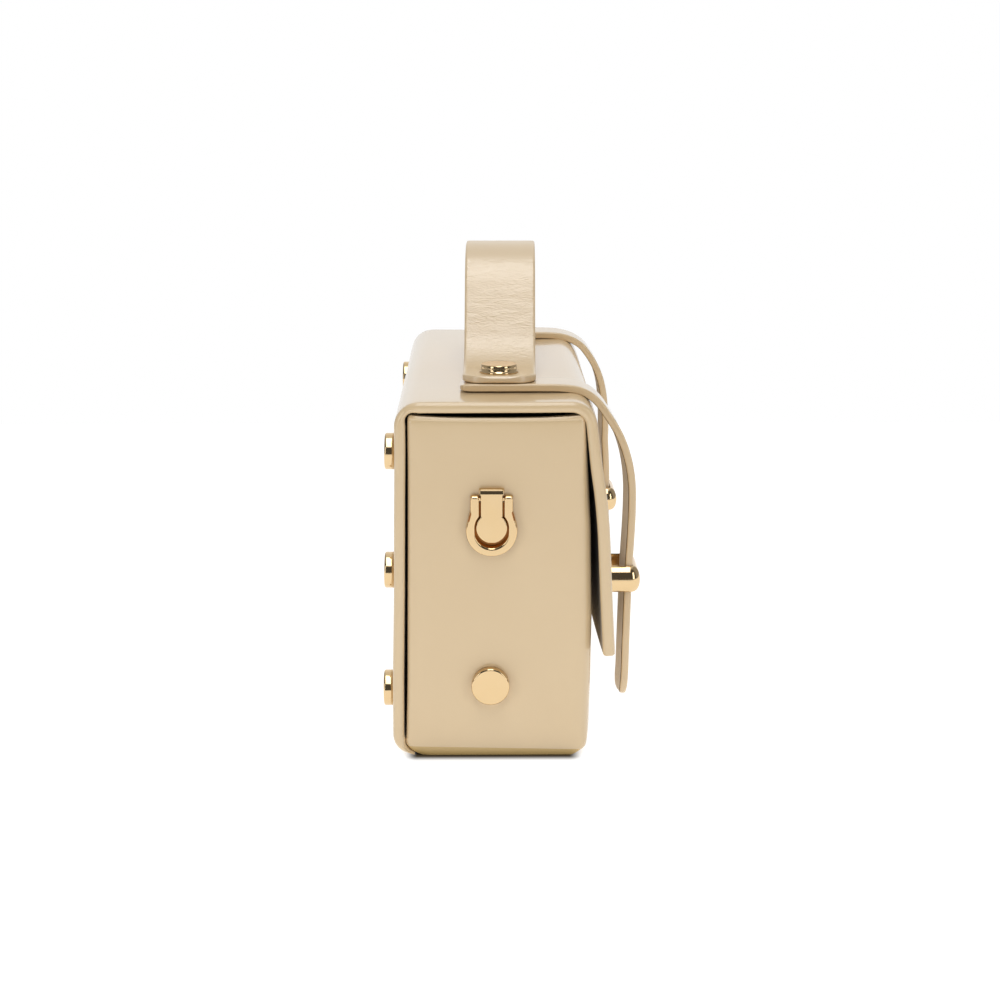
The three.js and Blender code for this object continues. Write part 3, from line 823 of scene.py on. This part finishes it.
width = rounded(start_share, g.other(given, "Start Width"))
width = width * rounded(end_share, g.other(given, "End Width"))
narrowing = g.scaled(side, across * (width - 1.0))
strap = g.add("GeometryNodeSetPosition", None, {"Geometry": strap, "Offset": narrowing})
from_end = g.maths("MINIMUM", along, whole - along)
thickness = rounded(g.maths("MINIMUM", from_end / g.other(given, "Tip Round"), 1.0), TIP_LEAST)
twist_from = g.other(given, "Twist From")
twisted = g.ease(along, twist_from, twist_from + TWIST_RUN) * g.other(given, "Twist") * across
lift = g.scaled(up, depth * (thickness - 1.0) + twisted)
strap = g.add("GeometryNodeSetPosition", None, {"Geometry": strap, "Offset": lift})
print("strap tree has", len(strap_tree.nodes), "nodes so far")

# %% [markdown]
# Leather that is bent hollow creases. The creases are pressed in near both ends of the path, on the
# outer face only, by a noise that is stretched like the one of the creased finish.

# %% Creases
CREASE_FADE = 0.012
OUTER_FROM = 0.0010
OUTER_TO = 0.00138
PRESS_SCALE = 300.0
crease_from = g.other(given, "Crease From")
crease_to = g.other(given, "Crease To")
rising = g.ease(along, crease_from, crease_from + CREASE_FADE)
falling = g.ease(along, crease_to - CREASE_FADE, crease_to, 1.0, 0.0)
far_from = whole - crease_to
far_to = whole - crease_from
rising_far = g.ease(along, far_from, far_from + CREASE_FADE)
falling_far = g.ease(along, far_to - CREASE_FADE, far_to, 1.0, 0.0)
outside = g.ease(depth, OUTER_FROM, OUTER_TO)
creased_at = (rising * falling + rising_far * falling_far) * outside
crease_place = g.add("ShaderNodeCombineXYZ", None, {"X": across * CREASE_STRETCH, "Y": along})
crease_noise = g.add(
    "ShaderNodeTexNoise",
    None,
    {"Vector": crease_place, "Scale": PRESS_SCALE, "Detail": 2.0, "Roughness": CREASE_ROUGH},
)
sink = (crease_noise - 0.5) * creased_at * g.other(given, "Crease Depth")
pressed = g.scaled(g.add("GeometryNodeInputNormal", out="Normal"), sink)
strap = g.add("GeometryNodeSetPosition", None, {"Geometry": strap, "Offset": pressed})
print("strap tree has", len(strap_tree.nodes), "nodes so far")

# %% [markdown]
# Last, the finish reads along, across and creased as attributes, and each zone of the section gets
# its material: the face, the narrow seam or the lining.

# %% Attributes and materials
SEAM_ZONE = 0.4
LINING_ZONE = 1.6
for title, value in (("along", along), ("across", across), ("creased", creased_at)):
    strap = g.add(
        "GeometryNodeStoreNamedAttribute",
        {"data_type": "FLOAT", "domain": "POINT"},
        {"Geometry": strap, "Name": title, "Value": value},
    )
strap = g.add("GeometryNodeRealizeInstances", None, {"Geometry": strap})
strap = g.add("GeometryNodeSetMaterial", None, {"Geometry": strap, "Material": g.other(given, "Face")})
zone = g.add("GeometryNodeInputNamedAttribute", {"data_type": "FLOAT"}, {"Name": "zone"}, out="Attribute")
zone_on_face = g.add("GeometryNodeFieldOnDomain", {"data_type": "FLOAT", "domain": "FACE"}, {"Value": zone})
for low, finish in ((SEAM_ZONE, "Seam"), (LINING_ZONE, "Lining")):
    chosen = g.add("FunctionNodeCompare", {"operation": "GREATER_THAN"}, {"A": zone_on_face, "B": low})
    strap = g.add(
        "GeometryNodeSetMaterial",
        None,
        {"Geometry": strap, "Selection": chosen, "Material": g.other(given, finish)},
    )
g.add("NodeGroupOutput", None, {"Geometry": strap})
print("strap tree has", len(strap_tree.nodes), "nodes")

# %% [markdown]
# A tree runs as a modifier. Its inputs are set by their identifiers, the object is evaluated, and
# the result is copied to a plain mesh, because only plain meshes can be handed on. The section
# and the path are drawn as bare edges for the tree, and are thrown away afterwards.

# %% Run a tree
PLAIN_STRAP = {
    "Twist": 0.0,
    "Twist From": 0.05,
    "Crease Depth": 0.0,
    "Crease From": 0.02,
    "Crease To": 0.05,
}


def wires(name, lines, closed=False, zones=None):
    """An object of bare edges: one or more lines of points, in millimetres."""
    points, edges = [], []
    for line in lines:
        first = len(points)
        points += [Vector(p) * MM for p in line]
        edges += [(first + i, first + i + 1) for i in range(len(line) - 1)]
        if closed:
            edges.append((len(points) - 1, first))
    mesh = bpy.data.meshes.new(name)
    mesh.from_pydata(points, edges, [])
    if zones is not None:
        mesh.attributes.new("zone", "FLOAT", "POINT").data.foreach_set("value", zones)
    obj = bpy.data.objects.new(name, mesh)
    scene.collection.objects.link(obj)
    return obj


def run_tree(name, start, tree, identifiers, values, helpers=()):
    modifier = start.modifiers.new(tree.name, "NODES")
    modifier.node_group = tree
    for title, value in values.items():
        modifier[identifiers[title]] = value
    bpy.context.view_layer.update()
    depsgraph = bpy.context.evaluated_depsgraph_get()
    mesh = bpy.data.meshes.new_from_object(start.evaluated_get(depsgraph))
    mesh.name = name
    obj = bpy.data.objects.new(name, mesh)
    scene.collection.objects.link(obj)
    for old in (start, *helpers):
        bpy.data.objects.remove(old)
    turn_out(mesh)
    return obj


def run_strap(name, paths, outline, zones, values):
    """The section carried along each path. What values leaves out is as on a plain strap."""
    section = wires(name + "_section", [outline], True, zones)
    values = {**PLAIN_STRAP, "Section": section, **values}
    return run_tree(name, wires(name + "_paths", paths), strap_tree, strap_sockets, values, [section])


print("tree runner ready")

# %% [markdown]
# A section has a face, rounded edges and an inner side. On a lined strap the inner edge is turned
# round a little, a groove of edge paint follows, and the lining stands proud of both.

# %% Strap section
EDGE_CUTS = 5
INNER_CUTS = 4
INNER_ROUND = 0.5
LINING_PROUD = 0.15
GROOVE_DEEP = 0.2
GROOVE_FROM = 0.56
GROOVE_TO = 1.1
LINING_FROM = 1.15


def strap_section(width, thick, edge, cuts, lined):
    """A strap's section, x across and y towards its outer face, and the zone of each point."""
    half, flat = width / 2, thick / 2
    right = [(half * i / cuts * (1 - edge / half), flat, 0) for i in range(cuts)]
    right += [(x, y, 0) for x, y in reversed(arc((half - edge, flat - edge), edge, 0, 90, EDGE_CUTS))]
    if lined:
        inner = -flat + LINING_PROUD
        turned_in = arc((half - INNER_ROUND, inner + INNER_ROUND), INNER_ROUND, -90, 0, INNER_CUTS)
        right += [(x, y, 0) for x, y in reversed(turned_in)]
        right += [(half - GROOVE_FROM, inner + GROOVE_DEEP, 1), (half - GROOVE_TO, inner + GROOVE_DEEP, 1)]
        right += [(half - LINING_FROM, -flat, 2), (0, -flat, 2)]
    else:
        turned_in = arc((half - edge, -flat + edge), edge, -90, 0, EDGE_CUTS)
        right += [(x, y, 0) for x, y in reversed(turned_in)]
        right += [(half * i / cuts * (1 - edge / half), -flat, 0) for i in range(cuts - 1, -1, -1)]
    left = [(-x, y, zone) for x, y, zone in reversed(right) if x > 1e-9]
    whole = right + left
    return [(x, y, 0) for x, y, _ in whole], [zone for _, _, zone in whole]


print("section ready")

# %% [markdown]
# ## The belts
# Each belt starts under a handle tab, lies flat on the lid, springs away from the front edge in a
# wide bow, and hangs through its keeper. It is stiff two-layer leather, so the bow is one smooth
# curve. The points below are that curve in the end view.

# %% Belts
BELT_X = 71.5
BELT_WIDTH = 17.0
BELT_THICK = 3.1
BELT_EDGE = 0.8
BELT_CUTS = 8
BELT_STEP = 0.8
BELT_BACK = {-1: 14.8, 1: 12.0}
TUCK_LEVELS = [68, 80, 96, 105, 114, 123, 133, 143, 146.2]
TUCK_EVERY = 6
TIP_GAP = 3
TUCK = {-1: [0] * len(TUCK_LEVELS), 1: [0, 0.6, 2.1, 2.0, 1.5, 0.35, -1.1, -1.2, 0]}
belt_line = smooth_line(
    [
        (15.7, 146.7), (-6.0, 146.7), (-20.0, 146.7), (-27.0, 146.5), (-33.0, 145.6), (-38.2, 143.0),
        (-41.9, 139.3), (-44.8, 135.0), (-47.5, 130.6), (-49.8, 126.0), (-51.7, 120.6), (-53.2, 114.3),
        (-54.2, 106.0), (-54.3, 96.0), (-53.9, 85.0), (-53.3, 73.0), (-52.9, 58.0), (-52.5, 40.0),
        (-52.2, 26.0), (-51.6, 17.9),
    ],
    BELT_STEP,
)
belt_paths = []
for side in (-1, 1):
    tucked = [(y + np.interp(z, TUCK_LEVELS, TUCK[side]), z) for y, z in belt_line if y <= BELT_BACK[side]]
    thinned = tucked[:-TIP_GAP:TUCK_EVERY] + tucked[-1:]
    belt_paths.append([(side * BELT_X, y, z) for y, z in smooth_line(thinned, BELT_STEP)])
belt_outline, belt_zones = strap_section(BELT_WIDTH, BELT_THICK, BELT_EDGE, BELT_CUTS, True)
belts = run_strap("leather_belts", belt_paths, belt_outline, belt_zones, {
    "Side": (1.0, 0.0, 0.0),
    "Step": BELT_STEP * MM,
    "Start Taper": 2.5 * MM,
    "Start Width": 0.72,
    "End Taper": 9.0 * MM,
    "End Width": 0.42,
    "Tip Round": 6.0 * MM,
    "Twist": -0.075,
    "Twist From": 0.055,
    "Face": leather.material,
    "Lining": lit_belt_lining.material,
    "Seam": seam.material,
})
settle(belts, "bag", ["belt_left", "belt_right"], crisp=50)

# %% [markdown]
# ## The handle
# The handle is one wide strap with a flat tab at each end. Its line is made of straight runs and
# arcs: out along the tab, a hollow bend upwards, a straight slope, and a tight bow over the top.

# %% Handle
HANDLE_Y = -2.55
HANDLE_SKEW = 0.0145
HANDLE_WIDTH = 29.4
HANDLE_THICK = 2.8
HANDLE_EDGE = 0.9
HANDLE_CUTS = 26
HANDLE_STEP = 0.6
TAB_END = 80.0
TAB_Z = 149.95
TOP_Z = 195.2
SLOPE = math.radians(62)
FOOT_RADIUS = 24.0
TOP_RADIUS = 26.0
TOP_FLAT = 4.0
bends = (FOOT_RADIUS + TOP_RADIUS) * (1 - math.cos(SLOPE))
rise = TOP_Z - TAB_Z - bends
foot_x = -TOP_FLAT - (FOOT_RADIUS + TOP_RADIUS) * math.sin(SLOPE) - rise / math.tan(SLOPE)
slope_turn = math.degrees(SLOPE)
half_line = [(-TAB_END, TAB_Z), (-72.0, TAB_Z), (-65.0, TAB_Z)]
half_line += arc((foot_x, TAB_Z + FOOT_RADIUS), FOOT_RADIUS, -90, -90 + slope_turn, 12)
half_line += arc((-TOP_FLAT, TOP_Z - TOP_RADIUS), TOP_RADIUS, 90 + slope_turn, 90, 14)
handle_line = half_line + [(-x, z) for x, z in reversed(half_line)]
handle_line = smooth_line(handle_line, HANDLE_STEP)
handle_path = [(x, HANDLE_Y - HANDLE_SKEW * x, z) for x, z in handle_line]
handle_outline, handle_zones = strap_section(HANDLE_WIDTH, HANDLE_THICK, HANDLE_EDGE, HANDLE_CUTS, False)
handle = run_strap("leather_handle", [handle_path], handle_outline, handle_zones, {
    "Side": (0.0, 1.0, 0.0),
    "Step": HANDLE_STEP * MM,
    "Start Taper": 8.0 * MM,
    "Start Width": 0.30,
    "End Taper": 8.0 * MM,
    "End Width": 0.30,
    "Tip Round": 1.3 * MM,
    "Crease Depth": 0.3 * MM,
    "Crease From": 0.020,
    "Crease To": 0.088,
    "Face": creased.material,
    "Lining": lining.material,
    "Seam": seam.material,
})
settle(handle, "bag", ["handle"], crisp=60)

# %% [markdown]
# ## The keepers
# A keeper is a metal bridge that holds a belt against the flap. It is a half-round bar, flat inside,
# bent twice, so the strap tree makes it too, with both ends square on the flap.

# %% Keepers
KEEPER_Z = 68.4
KEEPER_TALL = 10.8
KEEPER_BAR = 3.0
KEEPER_LEAN = 0.06
KEEPER_X = 70.7
KEEPER_HALF = 11.4
KEEPER_TIP = -57.1
KEEPER_FOOT = -45.2
KEEPER_BEND = 2.8
KEEPER_SIDE_TO = -50.0
KEEPER_FLAT = 4.0
KEEPER_TURN = 82
KEEPER_CUTS = 37
KEEPER_INSIDE = [(5.2, -1.42), (4.9, -1.5), (0, -1.5), (-4.9, -1.5), (-5.2, -1.42)]
keeper_half = [(-KEEPER_HALF, KEEPER_FOOT), (-KEEPER_HALF, KEEPER_SIDE_TO)]
keeper_half += arc((-KEEPER_HALF + KEEPER_BEND, KEEPER_TIP + KEEPER_BEND), KEEPER_BEND, 180, 270, 8)
keeper_half += [(-KEEPER_FLAT, KEEPER_TIP)]
keeper_line = keeper_half + [(-x, y) for x, y in reversed(keeper_half)]
keeper_paths = [[(s * KEEPER_X + x, y, KEEPER_Z) for x, y in keeper_line] for s in (-1, 1)]
keeper_outline = []
for turn in np.radians(np.linspace(-KEEPER_TURN, KEEPER_TURN, KEEPER_CUTS)):
    up = KEEPER_TALL / 2 * math.sin(turn)
    keeper_outline.append((up, KEEPER_BAR * (math.cos(turn) - 0.5) - KEEPER_LEAN * up, 0))
keeper_outline += [(up, out, 0) for up, out in KEEPER_INSIDE]
keepers = run_strap("gold_keepers", keeper_paths, keeper_outline, [0.0] * len(keeper_outline), {
    "Side": (0.0, 0.0, 1.0),
    "Step": 0.35 * MM,
    "Start Taper": 0.1 * MM,
    "Start Width": 1.0,
    "End Taper": 0.1 * MM,
    "End Width": 1.0,
    "Tip Round": 0.01 * MM,
    "Face": gold.material,
    "Lining": gold.material,
    "Seam": gold.material,
})
settle(keepers, "bag", ["keeper_left", "keeper_right"], crisp=60)

# %% [markdown]
# ## Turned heads
# The studs and the handle's rivets are round, so each is a profile turned about an axis. A
# cylinder with a bevel would do from afar. Here a second tree bends a grid round the axis by the
# points of a drawn profile, and puts one head on each seat, facing the way the seat faces.

# %% Turned head tree
head_tree, head_sockets = tree_inputs("turned_head", [
    ("Profile", "Object"),
    ("Rows", "Int"),
    ("Sides", "Int"),
    ("Finish", "Material"),
])
g = Plan(head_tree)
seats = g.add("NodeGroupInput", out="Geometry")
rows = g.other(seats, "Rows")
grid = g.add(
    "GeometryNodeMeshGrid",
    None,
    {"Size X": 1.0, "Size Y": 1.0, "Vertices X": rows, "Vertices Y": g.other(seats, "Sides") + 1.0},
    out="Mesh",
)
spot = g.add("GeometryNodeInputPosition")
u, v, _ = g.parts(spot)
profile = g.add("GeometryNodeObjectInfo", None, {"Object": g.other(seats, "Profile")}, out="Geometry")
which = g.maths("ROUND", (u + 0.5) * (rows - 1.0))
drawn = g.add(
    "GeometryNodeSampleIndex",
    {"data_type": "FLOAT_VECTOR", "domain": "POINT"},
    {"Geometry": profile, "Value": spot, "Index": which},
)
radius, up, _ = g.parts(drawn)
turn = (v + 0.5) * (2 * math.pi)
bent = g.add("ShaderNodeCombineXYZ", None, {
    "X": radius * g.maths("COSINE", turn),
    "Y": radius * g.maths("SINE", turn),
    "Z": up,
})
head = g.add("GeometryNodeSetPosition", None, {"Geometry": grid, "Position": bent})
head = g.add("GeometryNodeMergeByDistance", None, {"Geometry": head, "Distance": 1e-6})
facing = g.add(
    "GeometryNodeInputNamedAttribute", {"data_type": "FLOAT_VECTOR"}, {"Name": "facing"}, out="Attribute"
)
turned = g.add("FunctionNodeAlignRotationToVector", {"axis": "Z"}, {"Vector": facing})
heads = g.add("GeometryNodeInstanceOnPoints", None, {"Points": seats, "Instance": head, "Rotation": turned})
heads = g.add("GeometryNodeRealizeInstances", None, {"Geometry": heads})
heads = g.add("GeometryNodeSetMaterial", None, {"Geometry": heads, "Material": g.other(seats, "Finish")})
g.add("NodeGroupOutput", None, {"Geometry": heads})
print("head tree has", len(head_tree.nodes), "nodes")

# %% [markdown]
# The studs have a flat face and a rounded rim. The rivets stand on a flared foot and have upright
# sides. Each profile starts on the axis at the seat and ends on the axis at the top.

# %% Profiles
SEAT = 0.3
BACK_STUD_RADIUS = 7.25
END_STUD_RADIUS = 7.6
STUD_HEIGHT = 3.7
STUD_RIM = 0.8
STUD_FOOT = 0.25
STUD_SIDE = 1.2
STUD_FLAT = 1.4
STUD_CROWN = [(0.6, 0.03), (0, 0.05)]
RIVET_RADIUS = 7.25
RIVET_HEIGHT = 3.2
RIVET_RIM = 0.5
RIVET_FLAT = 1.3
RIVET_FLARE = [(7.75, -SEAT), (7.9, -0.1), (7.9, 0.25), (7.75, 0.5), (7.45, 0.7), (7.27, 0.95)]
RIVET_CROWN = [(0.5, 0.06), (0, 0.08)]


def crown(radius, height, flat, rises):
    """The flat top, from its edge to the axis, with how much it rises at each share of the radius."""
    return [(radius - flat, height)] + [(radius * share, height + rise) for share, rise in rises]


def stud_profile(radius):
    line = [(0, -SEAT), (radius - STUD_FOOT, -SEAT), (radius, -SEAT + STUD_FOOT), (radius, STUD_SIDE)]
    line += arc((radius - STUD_RIM, STUD_HEIGHT - STUD_RIM), STUD_RIM, 0, 86, 8)
    return line + crown(radius, STUD_HEIGHT, STUD_FLAT, STUD_CROWN)


rivet_profile = [(0, -SEAT)] + RIVET_FLARE + [(RIVET_RADIUS, 1.2), (RIVET_RADIUS, 1.9)]
rivet_profile += arc((RIVET_RADIUS - RIVET_RIM, RIVET_HEIGHT - RIVET_RIM), RIVET_RIM, 0, 85, 7)
rivet_profile += crown(RIVET_RADIUS, RIVET_HEIGHT, RIVET_FLAT, RIVET_CROWN)
print("rivet profile has", len(rivet_profile), "points")

# %% [markdown]
# A column of three studs runs up each side of the back, one stud is on each end, and a rivet holds
# each handle tab. The back leans a little, so each of its studs leans with it.

# %% Studs and rivets
HEAD_SIDES = 96


def turned_heads(name, profile, seats, body, nodes):
    """One head on each seat, a place in millimetres and the way that it faces."""
    drawing = wires(name + "_profile", [[(radius, up, 0) for radius, up in profile]])
    points = wires(name + "_seats", [[place] for place, _ in seats])
    ways = [value for _, way in seats for value in way]
    points.data.attributes.new("facing", "FLOAT_VECTOR", "POINT").data.foreach_set("vector", ways)
    values = {"Profile": drawing, "Rows": len(profile), "Sides": HEAD_SIDES, "Finish": gold.material}
    piece = run_tree(name, points, head_tree, head_sockets, values, [drawing])
    settle(piece, body, nodes, crisp=55)


BACK_STUD_X = 88.0
BACK_STUD_ROWS = ((25.0, 41.314, -0.0012), (74.5, 40.428, 0.0169), (123.0, 39.756, 0.0137))
back_seats, back_nodes = [], []
for hand, side in (("left", -1), ("right", 1)):
    for row, (z, y, lean) in enumerate(BACK_STUD_ROWS):
        back_seats.append(((side * BACK_STUD_X, y + SEAT, z), (0, math.cos(lean), math.sin(lean))))
        back_nodes.append(f"back_stud_{hand}_{row + 1}")
turned_heads("gold_back_studs", stud_profile(BACK_STUD_RADIUS), back_seats, "bag", back_nodes)

END_STUD_Y = 2.25
END_STUD_Z = 30.0
end_nodes = ["end_stud_left", "end_stud_right"]
end_seats = [((side * (TRAY_END + SEAT), END_STUD_Y, END_STUD_Z), (side, 0, 0)) for side in (-1, 1)]
turned_heads("gold_end_studs", stud_profile(END_STUD_RADIUS), end_seats, "bag", end_nodes)

RIVET_X = 69.0
RIVET_Y = -1.4
rivet_z = TAB_Z + HANDLE_THICK / 2 + SEAT
rivet_seats = [((side * RIVET_X, RIVET_Y, rivet_z), (0, 0, 1)) for side in (-1, 1)]
rivet_nodes = ["handle_rivet_left", "handle_rivet_right"]
turned_heads("gold_handle_rivets", rivet_profile, rivet_seats, "bag", rivet_nodes)

# %% [markdown]
# ## Tongues and rings
# On each end a keyhole-shaped tongue lies on the leather, and a horseshoe ring hinges on it. Both
# are cast and polished, so their faces are flat and every edge is softly rounded. The ring is an
# outline that is carried outwards and drawn in at its front edge. The tongue is a stack of level
# loops, because it ends in a slanted facet at the top.

# %% Tongue and ring helpers
END_Y = 1.7
PIVOT_Z = 106.4
PIVOT_OUT = 2.1
CAST_SPREAD = 0.22


def drawn_in(outline, amounts):
    """The closed outline moved inwards, each point by its own amount."""
    p = np.array(outline, float)
    before = p - np.roll(p, 1, axis=0)
    after = np.roll(p, -1, axis=0) - p
    before /= np.linalg.norm(before, axis=1)[:, None]
    after /= np.linalg.norm(after, axis=1)[:, None]
    inward = np.stack([-(before + after)[:, 1], (before + after)[:, 0]], axis=1)
    inward /= np.maximum(np.sum(inward**2, axis=1), 1.0)[:, None] / 2
    return p + inward * np.array(amounts)[:, None]


def cast_plate(outline, back, front, edges, spread, steps):
    """Loops of a flat plate, drawn anticlockwise. It spreads to the back, its front edge is rounded."""
    edges = np.array(edges, float)
    rows = [[(back, y, z) for y, z in drawn_in(outline, np.full(len(edges), -spread))]]
    for turn in np.linspace(0, math.pi / 2, steps + 1):
        loop = drawn_in(outline, edges * (1 - math.cos(turn)))
        outs = front - edges * (1 - math.sin(turn))
        rows.append([(out, y, z) for out, (y, z) in zip(outs, loop)])
    return rows


def on_end(side, points):
    """From an end's own axes, outwards and across, to the bag's."""
    return [(side * (TRAY_END + out), END_Y + side * y, z) for out, y, z in points]


def rounded_box(half_width, z, back, front, radius, steps=5):
    """A level loop that spreads to the back, with rounded corners in front."""
    radius = min(radius, half_width * 0.98, (front - back) * 0.49)
    loop = []
    for y, start in ((half_width - radius, 0), (radius - half_width, 90)):
        corner = arc((y, front - radius), radius, start, start + 90, steps)
        loop += [(reach, over, z) for over, reach in corner]
    return loop + [(back, -half_width - CAST_SPREAD, z), (back, half_width + CAST_SPREAD, z)]


def plane_faces(mesh):
    """Shades the plane faces flat, so that they mirror like plane mirrors."""
    for face in mesh.polygons:
        if abs(face.normal.x) > 0.9999:
            face.use_smooth = False


print("plate helpers ready")

# %% [markdown]
# The tongue is a disc with a straight neck and a lip on top. Under it lies a thin, wider plate, which
# shows in the ring's opening in the dark brown gold that paints the shade there.

# %% Tongues
TONGUE_NECK = 4.25
TONGUE_TOP = 4.8
TONGUE_TOP_Z = 110.65
TONGUE_LIP_Z = 108.5
TONGUE_DISC = 6.05
TONGUE_DISC_Z = 95.2
TONGUE_FRONT = 3.4
TONGUE_EDGE = 0.4
FACET_LEVELS = [108.75, 110.05, TONGUE_TOP_Z]
FACET_DROPS = [0, 0.36, 0.36]
CORNER_FROM = 110.1
FLANGE_Z = 93.9
FLANGE_RADIUS = 8.2
FLANGE_NECK = 5.9
FLANGE_TOP_Z = 104.8
FLANGE_CUT = 0.6
FLANGE_FRONT = 0.35
CAST_BACK = -0.05
TOP_CORNER = 0.5
disc_turns = np.linspace(-math.pi / 2 + 0.09, math.acos(TONGUE_NECK / TONGUE_DISC), 44)
tongue_sides = [(TONGUE_DISC * math.cos(t), TONGUE_DISC_Z + TONGUE_DISC * math.sin(t)) for t in disc_turns]
tongue_sides += [(TONGUE_NECK, z) for z in np.linspace(tongue_sides[-1][1] + 0.4, TONGUE_LIP_Z - 0.5, 8)]
tongue_sides += [(TONGUE_NECK + 0.12, TONGUE_LIP_Z - 0.2), (TONGUE_TOP - 0.1, TONGUE_LIP_Z + 0.05)]
top_levels = [108.7, 108.75, 108.8, 109.2, 109.6, 110.0, 110.05, 110.1, 110.4, TONGUE_TOP_Z]
tongue_sides += [(TONGUE_TOP, z) for z in top_levels]
flange = arc((0.0, FLANGE_Z), FLANGE_RADIUS, -90, 40, 30)
flange += [(FLANGE_NECK, FLANGE_TOP_Z - FLANGE_CUT), (FLANGE_NECK - FLANGE_CUT, FLANGE_TOP_Z)]
flange += [(-y, z) for y, z in reversed(flange[1:])]
flange_rows = [[(out, y, z) for y, z in flange] for out in (CAST_BACK, FLANGE_FRONT)]
tongue_rows = []
for half_width, z in tongue_sides:
    foot = draw_in(TONGUE_EDGE, z - (TONGUE_DISC_Z - TONGUE_DISC))
    facet = np.interp(z, FACET_LEVELS, FACET_DROPS)
    corner = TOP_CORNER * max(0.0, (z - CORNER_FROM) / (TONGUE_TOP_Z - CORNER_FROM)) ** 2
    front = TONGUE_FRONT - foot - facet
    tongue_rows.append(rounded_box(half_width - corner, z, CAST_BACK, front, TONGUE_EDGE))
for hand, side in (("left", -1), ("right", 1)):
    tongue_points, tongue_faces = loft([on_end(side, row) for row in tongue_rows])
    polished = len(tongue_faces)
    add_loft(tongue_points, tongue_faces, [on_end(side, row) for row in flange_rows])
    tongue = make_piece("gold_tongue_" + hand, tongue_points, tongue_faces, [gold, painted_shade_gold])
    # The plate gets the dark brown gold: painted shade in the ring's opening.
    paint(tongue, range(polished, len(tongue_faces)), 1)
    turn_out(tongue.data)
    settle(tongue, "bag", ["tongue_" + hand], crisp=60)
    plane_faces(tongue.data)

# %% [markdown]
# The ring's two ears turn on short pins that go into the tongue. It swings freely, so it is its
# own body, and nothing of it may touch the tongue.

# %% Rings
RING_THICK = 2.4
RING_OUTER = 10.0
RING_INNER = 6.65
RING_Z = 93.75
HOLE_TOP_Z = 95.2
HOLE_BOW_Z = 93.8
HOLE_NECK_Z = 100.0
EAR_INNER = 4.95
EAR_OUTER = 8.25
EAR_TOP = PIVOT_Z + 1.5
RING_EDGE = 0.5
SHOULDER_EDGE = 0.6
SHOULDER_TURN = 14
SHOULDER_Z = 102.1
NOTCH_Z = 99.8
NOTCH_ROWS = range(1, 9)
BOW_EDGE = 0.5
PIN_RADIUS = 0.65
PIN_FROM = 3.6
PIN_TO = 5.8
EAR_ROUND = 0.8
EAR_EASE = 0.9
EAR_EDGE = 0.5
NOTCH_REACH = 2.0
NOTCH_DEEP = 0.6
EDGE_ROWS_ROUND = 8
hole_turn = math.degrees(math.acos(EAR_INNER / RING_INNER))
outside = arc((0.0, RING_Z), RING_OUTER, -90, SHOULDER_TURN, 44)
low = np.array(outside[-1])
climb = np.array((EAR_OUTER, SHOULDER_Z)) - low
outside += [tuple(low + climb * share) for share in np.linspace(0.06, 1, 14)]
outside += [(EAR_OUTER, z) for z in np.linspace(SHOULDER_Z + 0.4, EAR_TOP - EAR_EASE, 10)]
outside += arc((EAR_OUTER - EAR_ROUND, EAR_TOP - EAR_ROUND), EAR_ROUND, 0, 90, 6)
inside = arc((EAR_INNER + EAR_ROUND, EAR_TOP - EAR_ROUND), EAR_ROUND, 90, 180, 6)
inside += [(EAR_INNER, z) for z in np.linspace(EAR_TOP - EAR_EASE, HOLE_NECK_Z, 10)]
inside += arc((0.0, HOLE_TOP_Z), RING_INNER, hole_turn, 0, 16)
inside += arc((0.0, HOLE_BOW_Z), RING_INNER, 0, -90, 30)
right_half = outside + inside
ring_outline = right_half + [(-y, z) for y, z in reversed(right_half[1:-1])]
at_shoulder = [
    math.exp(-(((z - NOTCH_Z) / NOTCH_REACH) ** 4)) * (abs(y) > EAR_OUTER - NOTCH_DEEP)
    for y, z in ring_outline
]
at_ear = [max(0.0, (z - EAR_TOP + EAR_EASE) / EAR_EASE) for y, z in ring_outline]
in_bow = [
    max(0.0, HOLE_BOW_Z - z) / RING_INNER * (math.hypot(y, z - RING_Z) < RING_OUTER - 1)
    for y, z in ring_outline
]
ring_edges = RING_EDGE + (SHOULDER_EDGE - RING_EDGE) * np.array(at_shoulder)
ring_edges += EAR_EDGE * np.array(at_ear) + BOW_EDGE * np.array(in_bow)
ring_back = PIVOT_OUT - RING_THICK / 2
ring_front = PIVOT_OUT + RING_THICK / 2
ring_rows = cast_plate(ring_outline, ring_back, ring_front, ring_edges, CAST_SPREAD, EDGE_ROWS_ROUND)
circle = arc((PIVOT_OUT, PIVOT_Z), PIN_RADIUS, 0, 337.5, 15)
shaded_shoulder_faces = [
    row * len(ring_outline) + column
    for row in NOTCH_ROWS
    for column, share in enumerate(at_shoulder)
    if share > 0.5
]
for hand, side in (("left", -1), ("right", 1)):
    ring_points, ring_faces = loft([on_end(side, row) for row in ring_rows])
    for pin_side in (-1, 1):
        pin_rows = [[(out, pin_side * y, z) for out, z in circle] for y in (PIN_FROM, PIN_TO)]
        add_loft(ring_points, ring_faces, [on_end(side, row) for row in pin_rows])
    ring = make_piece("gold_ring_" + hand, ring_points, ring_faces, [gold, painted_shade_gold])
    # The notches get the dark brown gold: a painted dark reflection.
    paint(ring, shaded_shoulder_faces, 1)
    turn_out(ring.data)
    settle(ring, "ring_" + hand, ["ring_" + hand], crisp=60)
    plane_faces(ring.data)
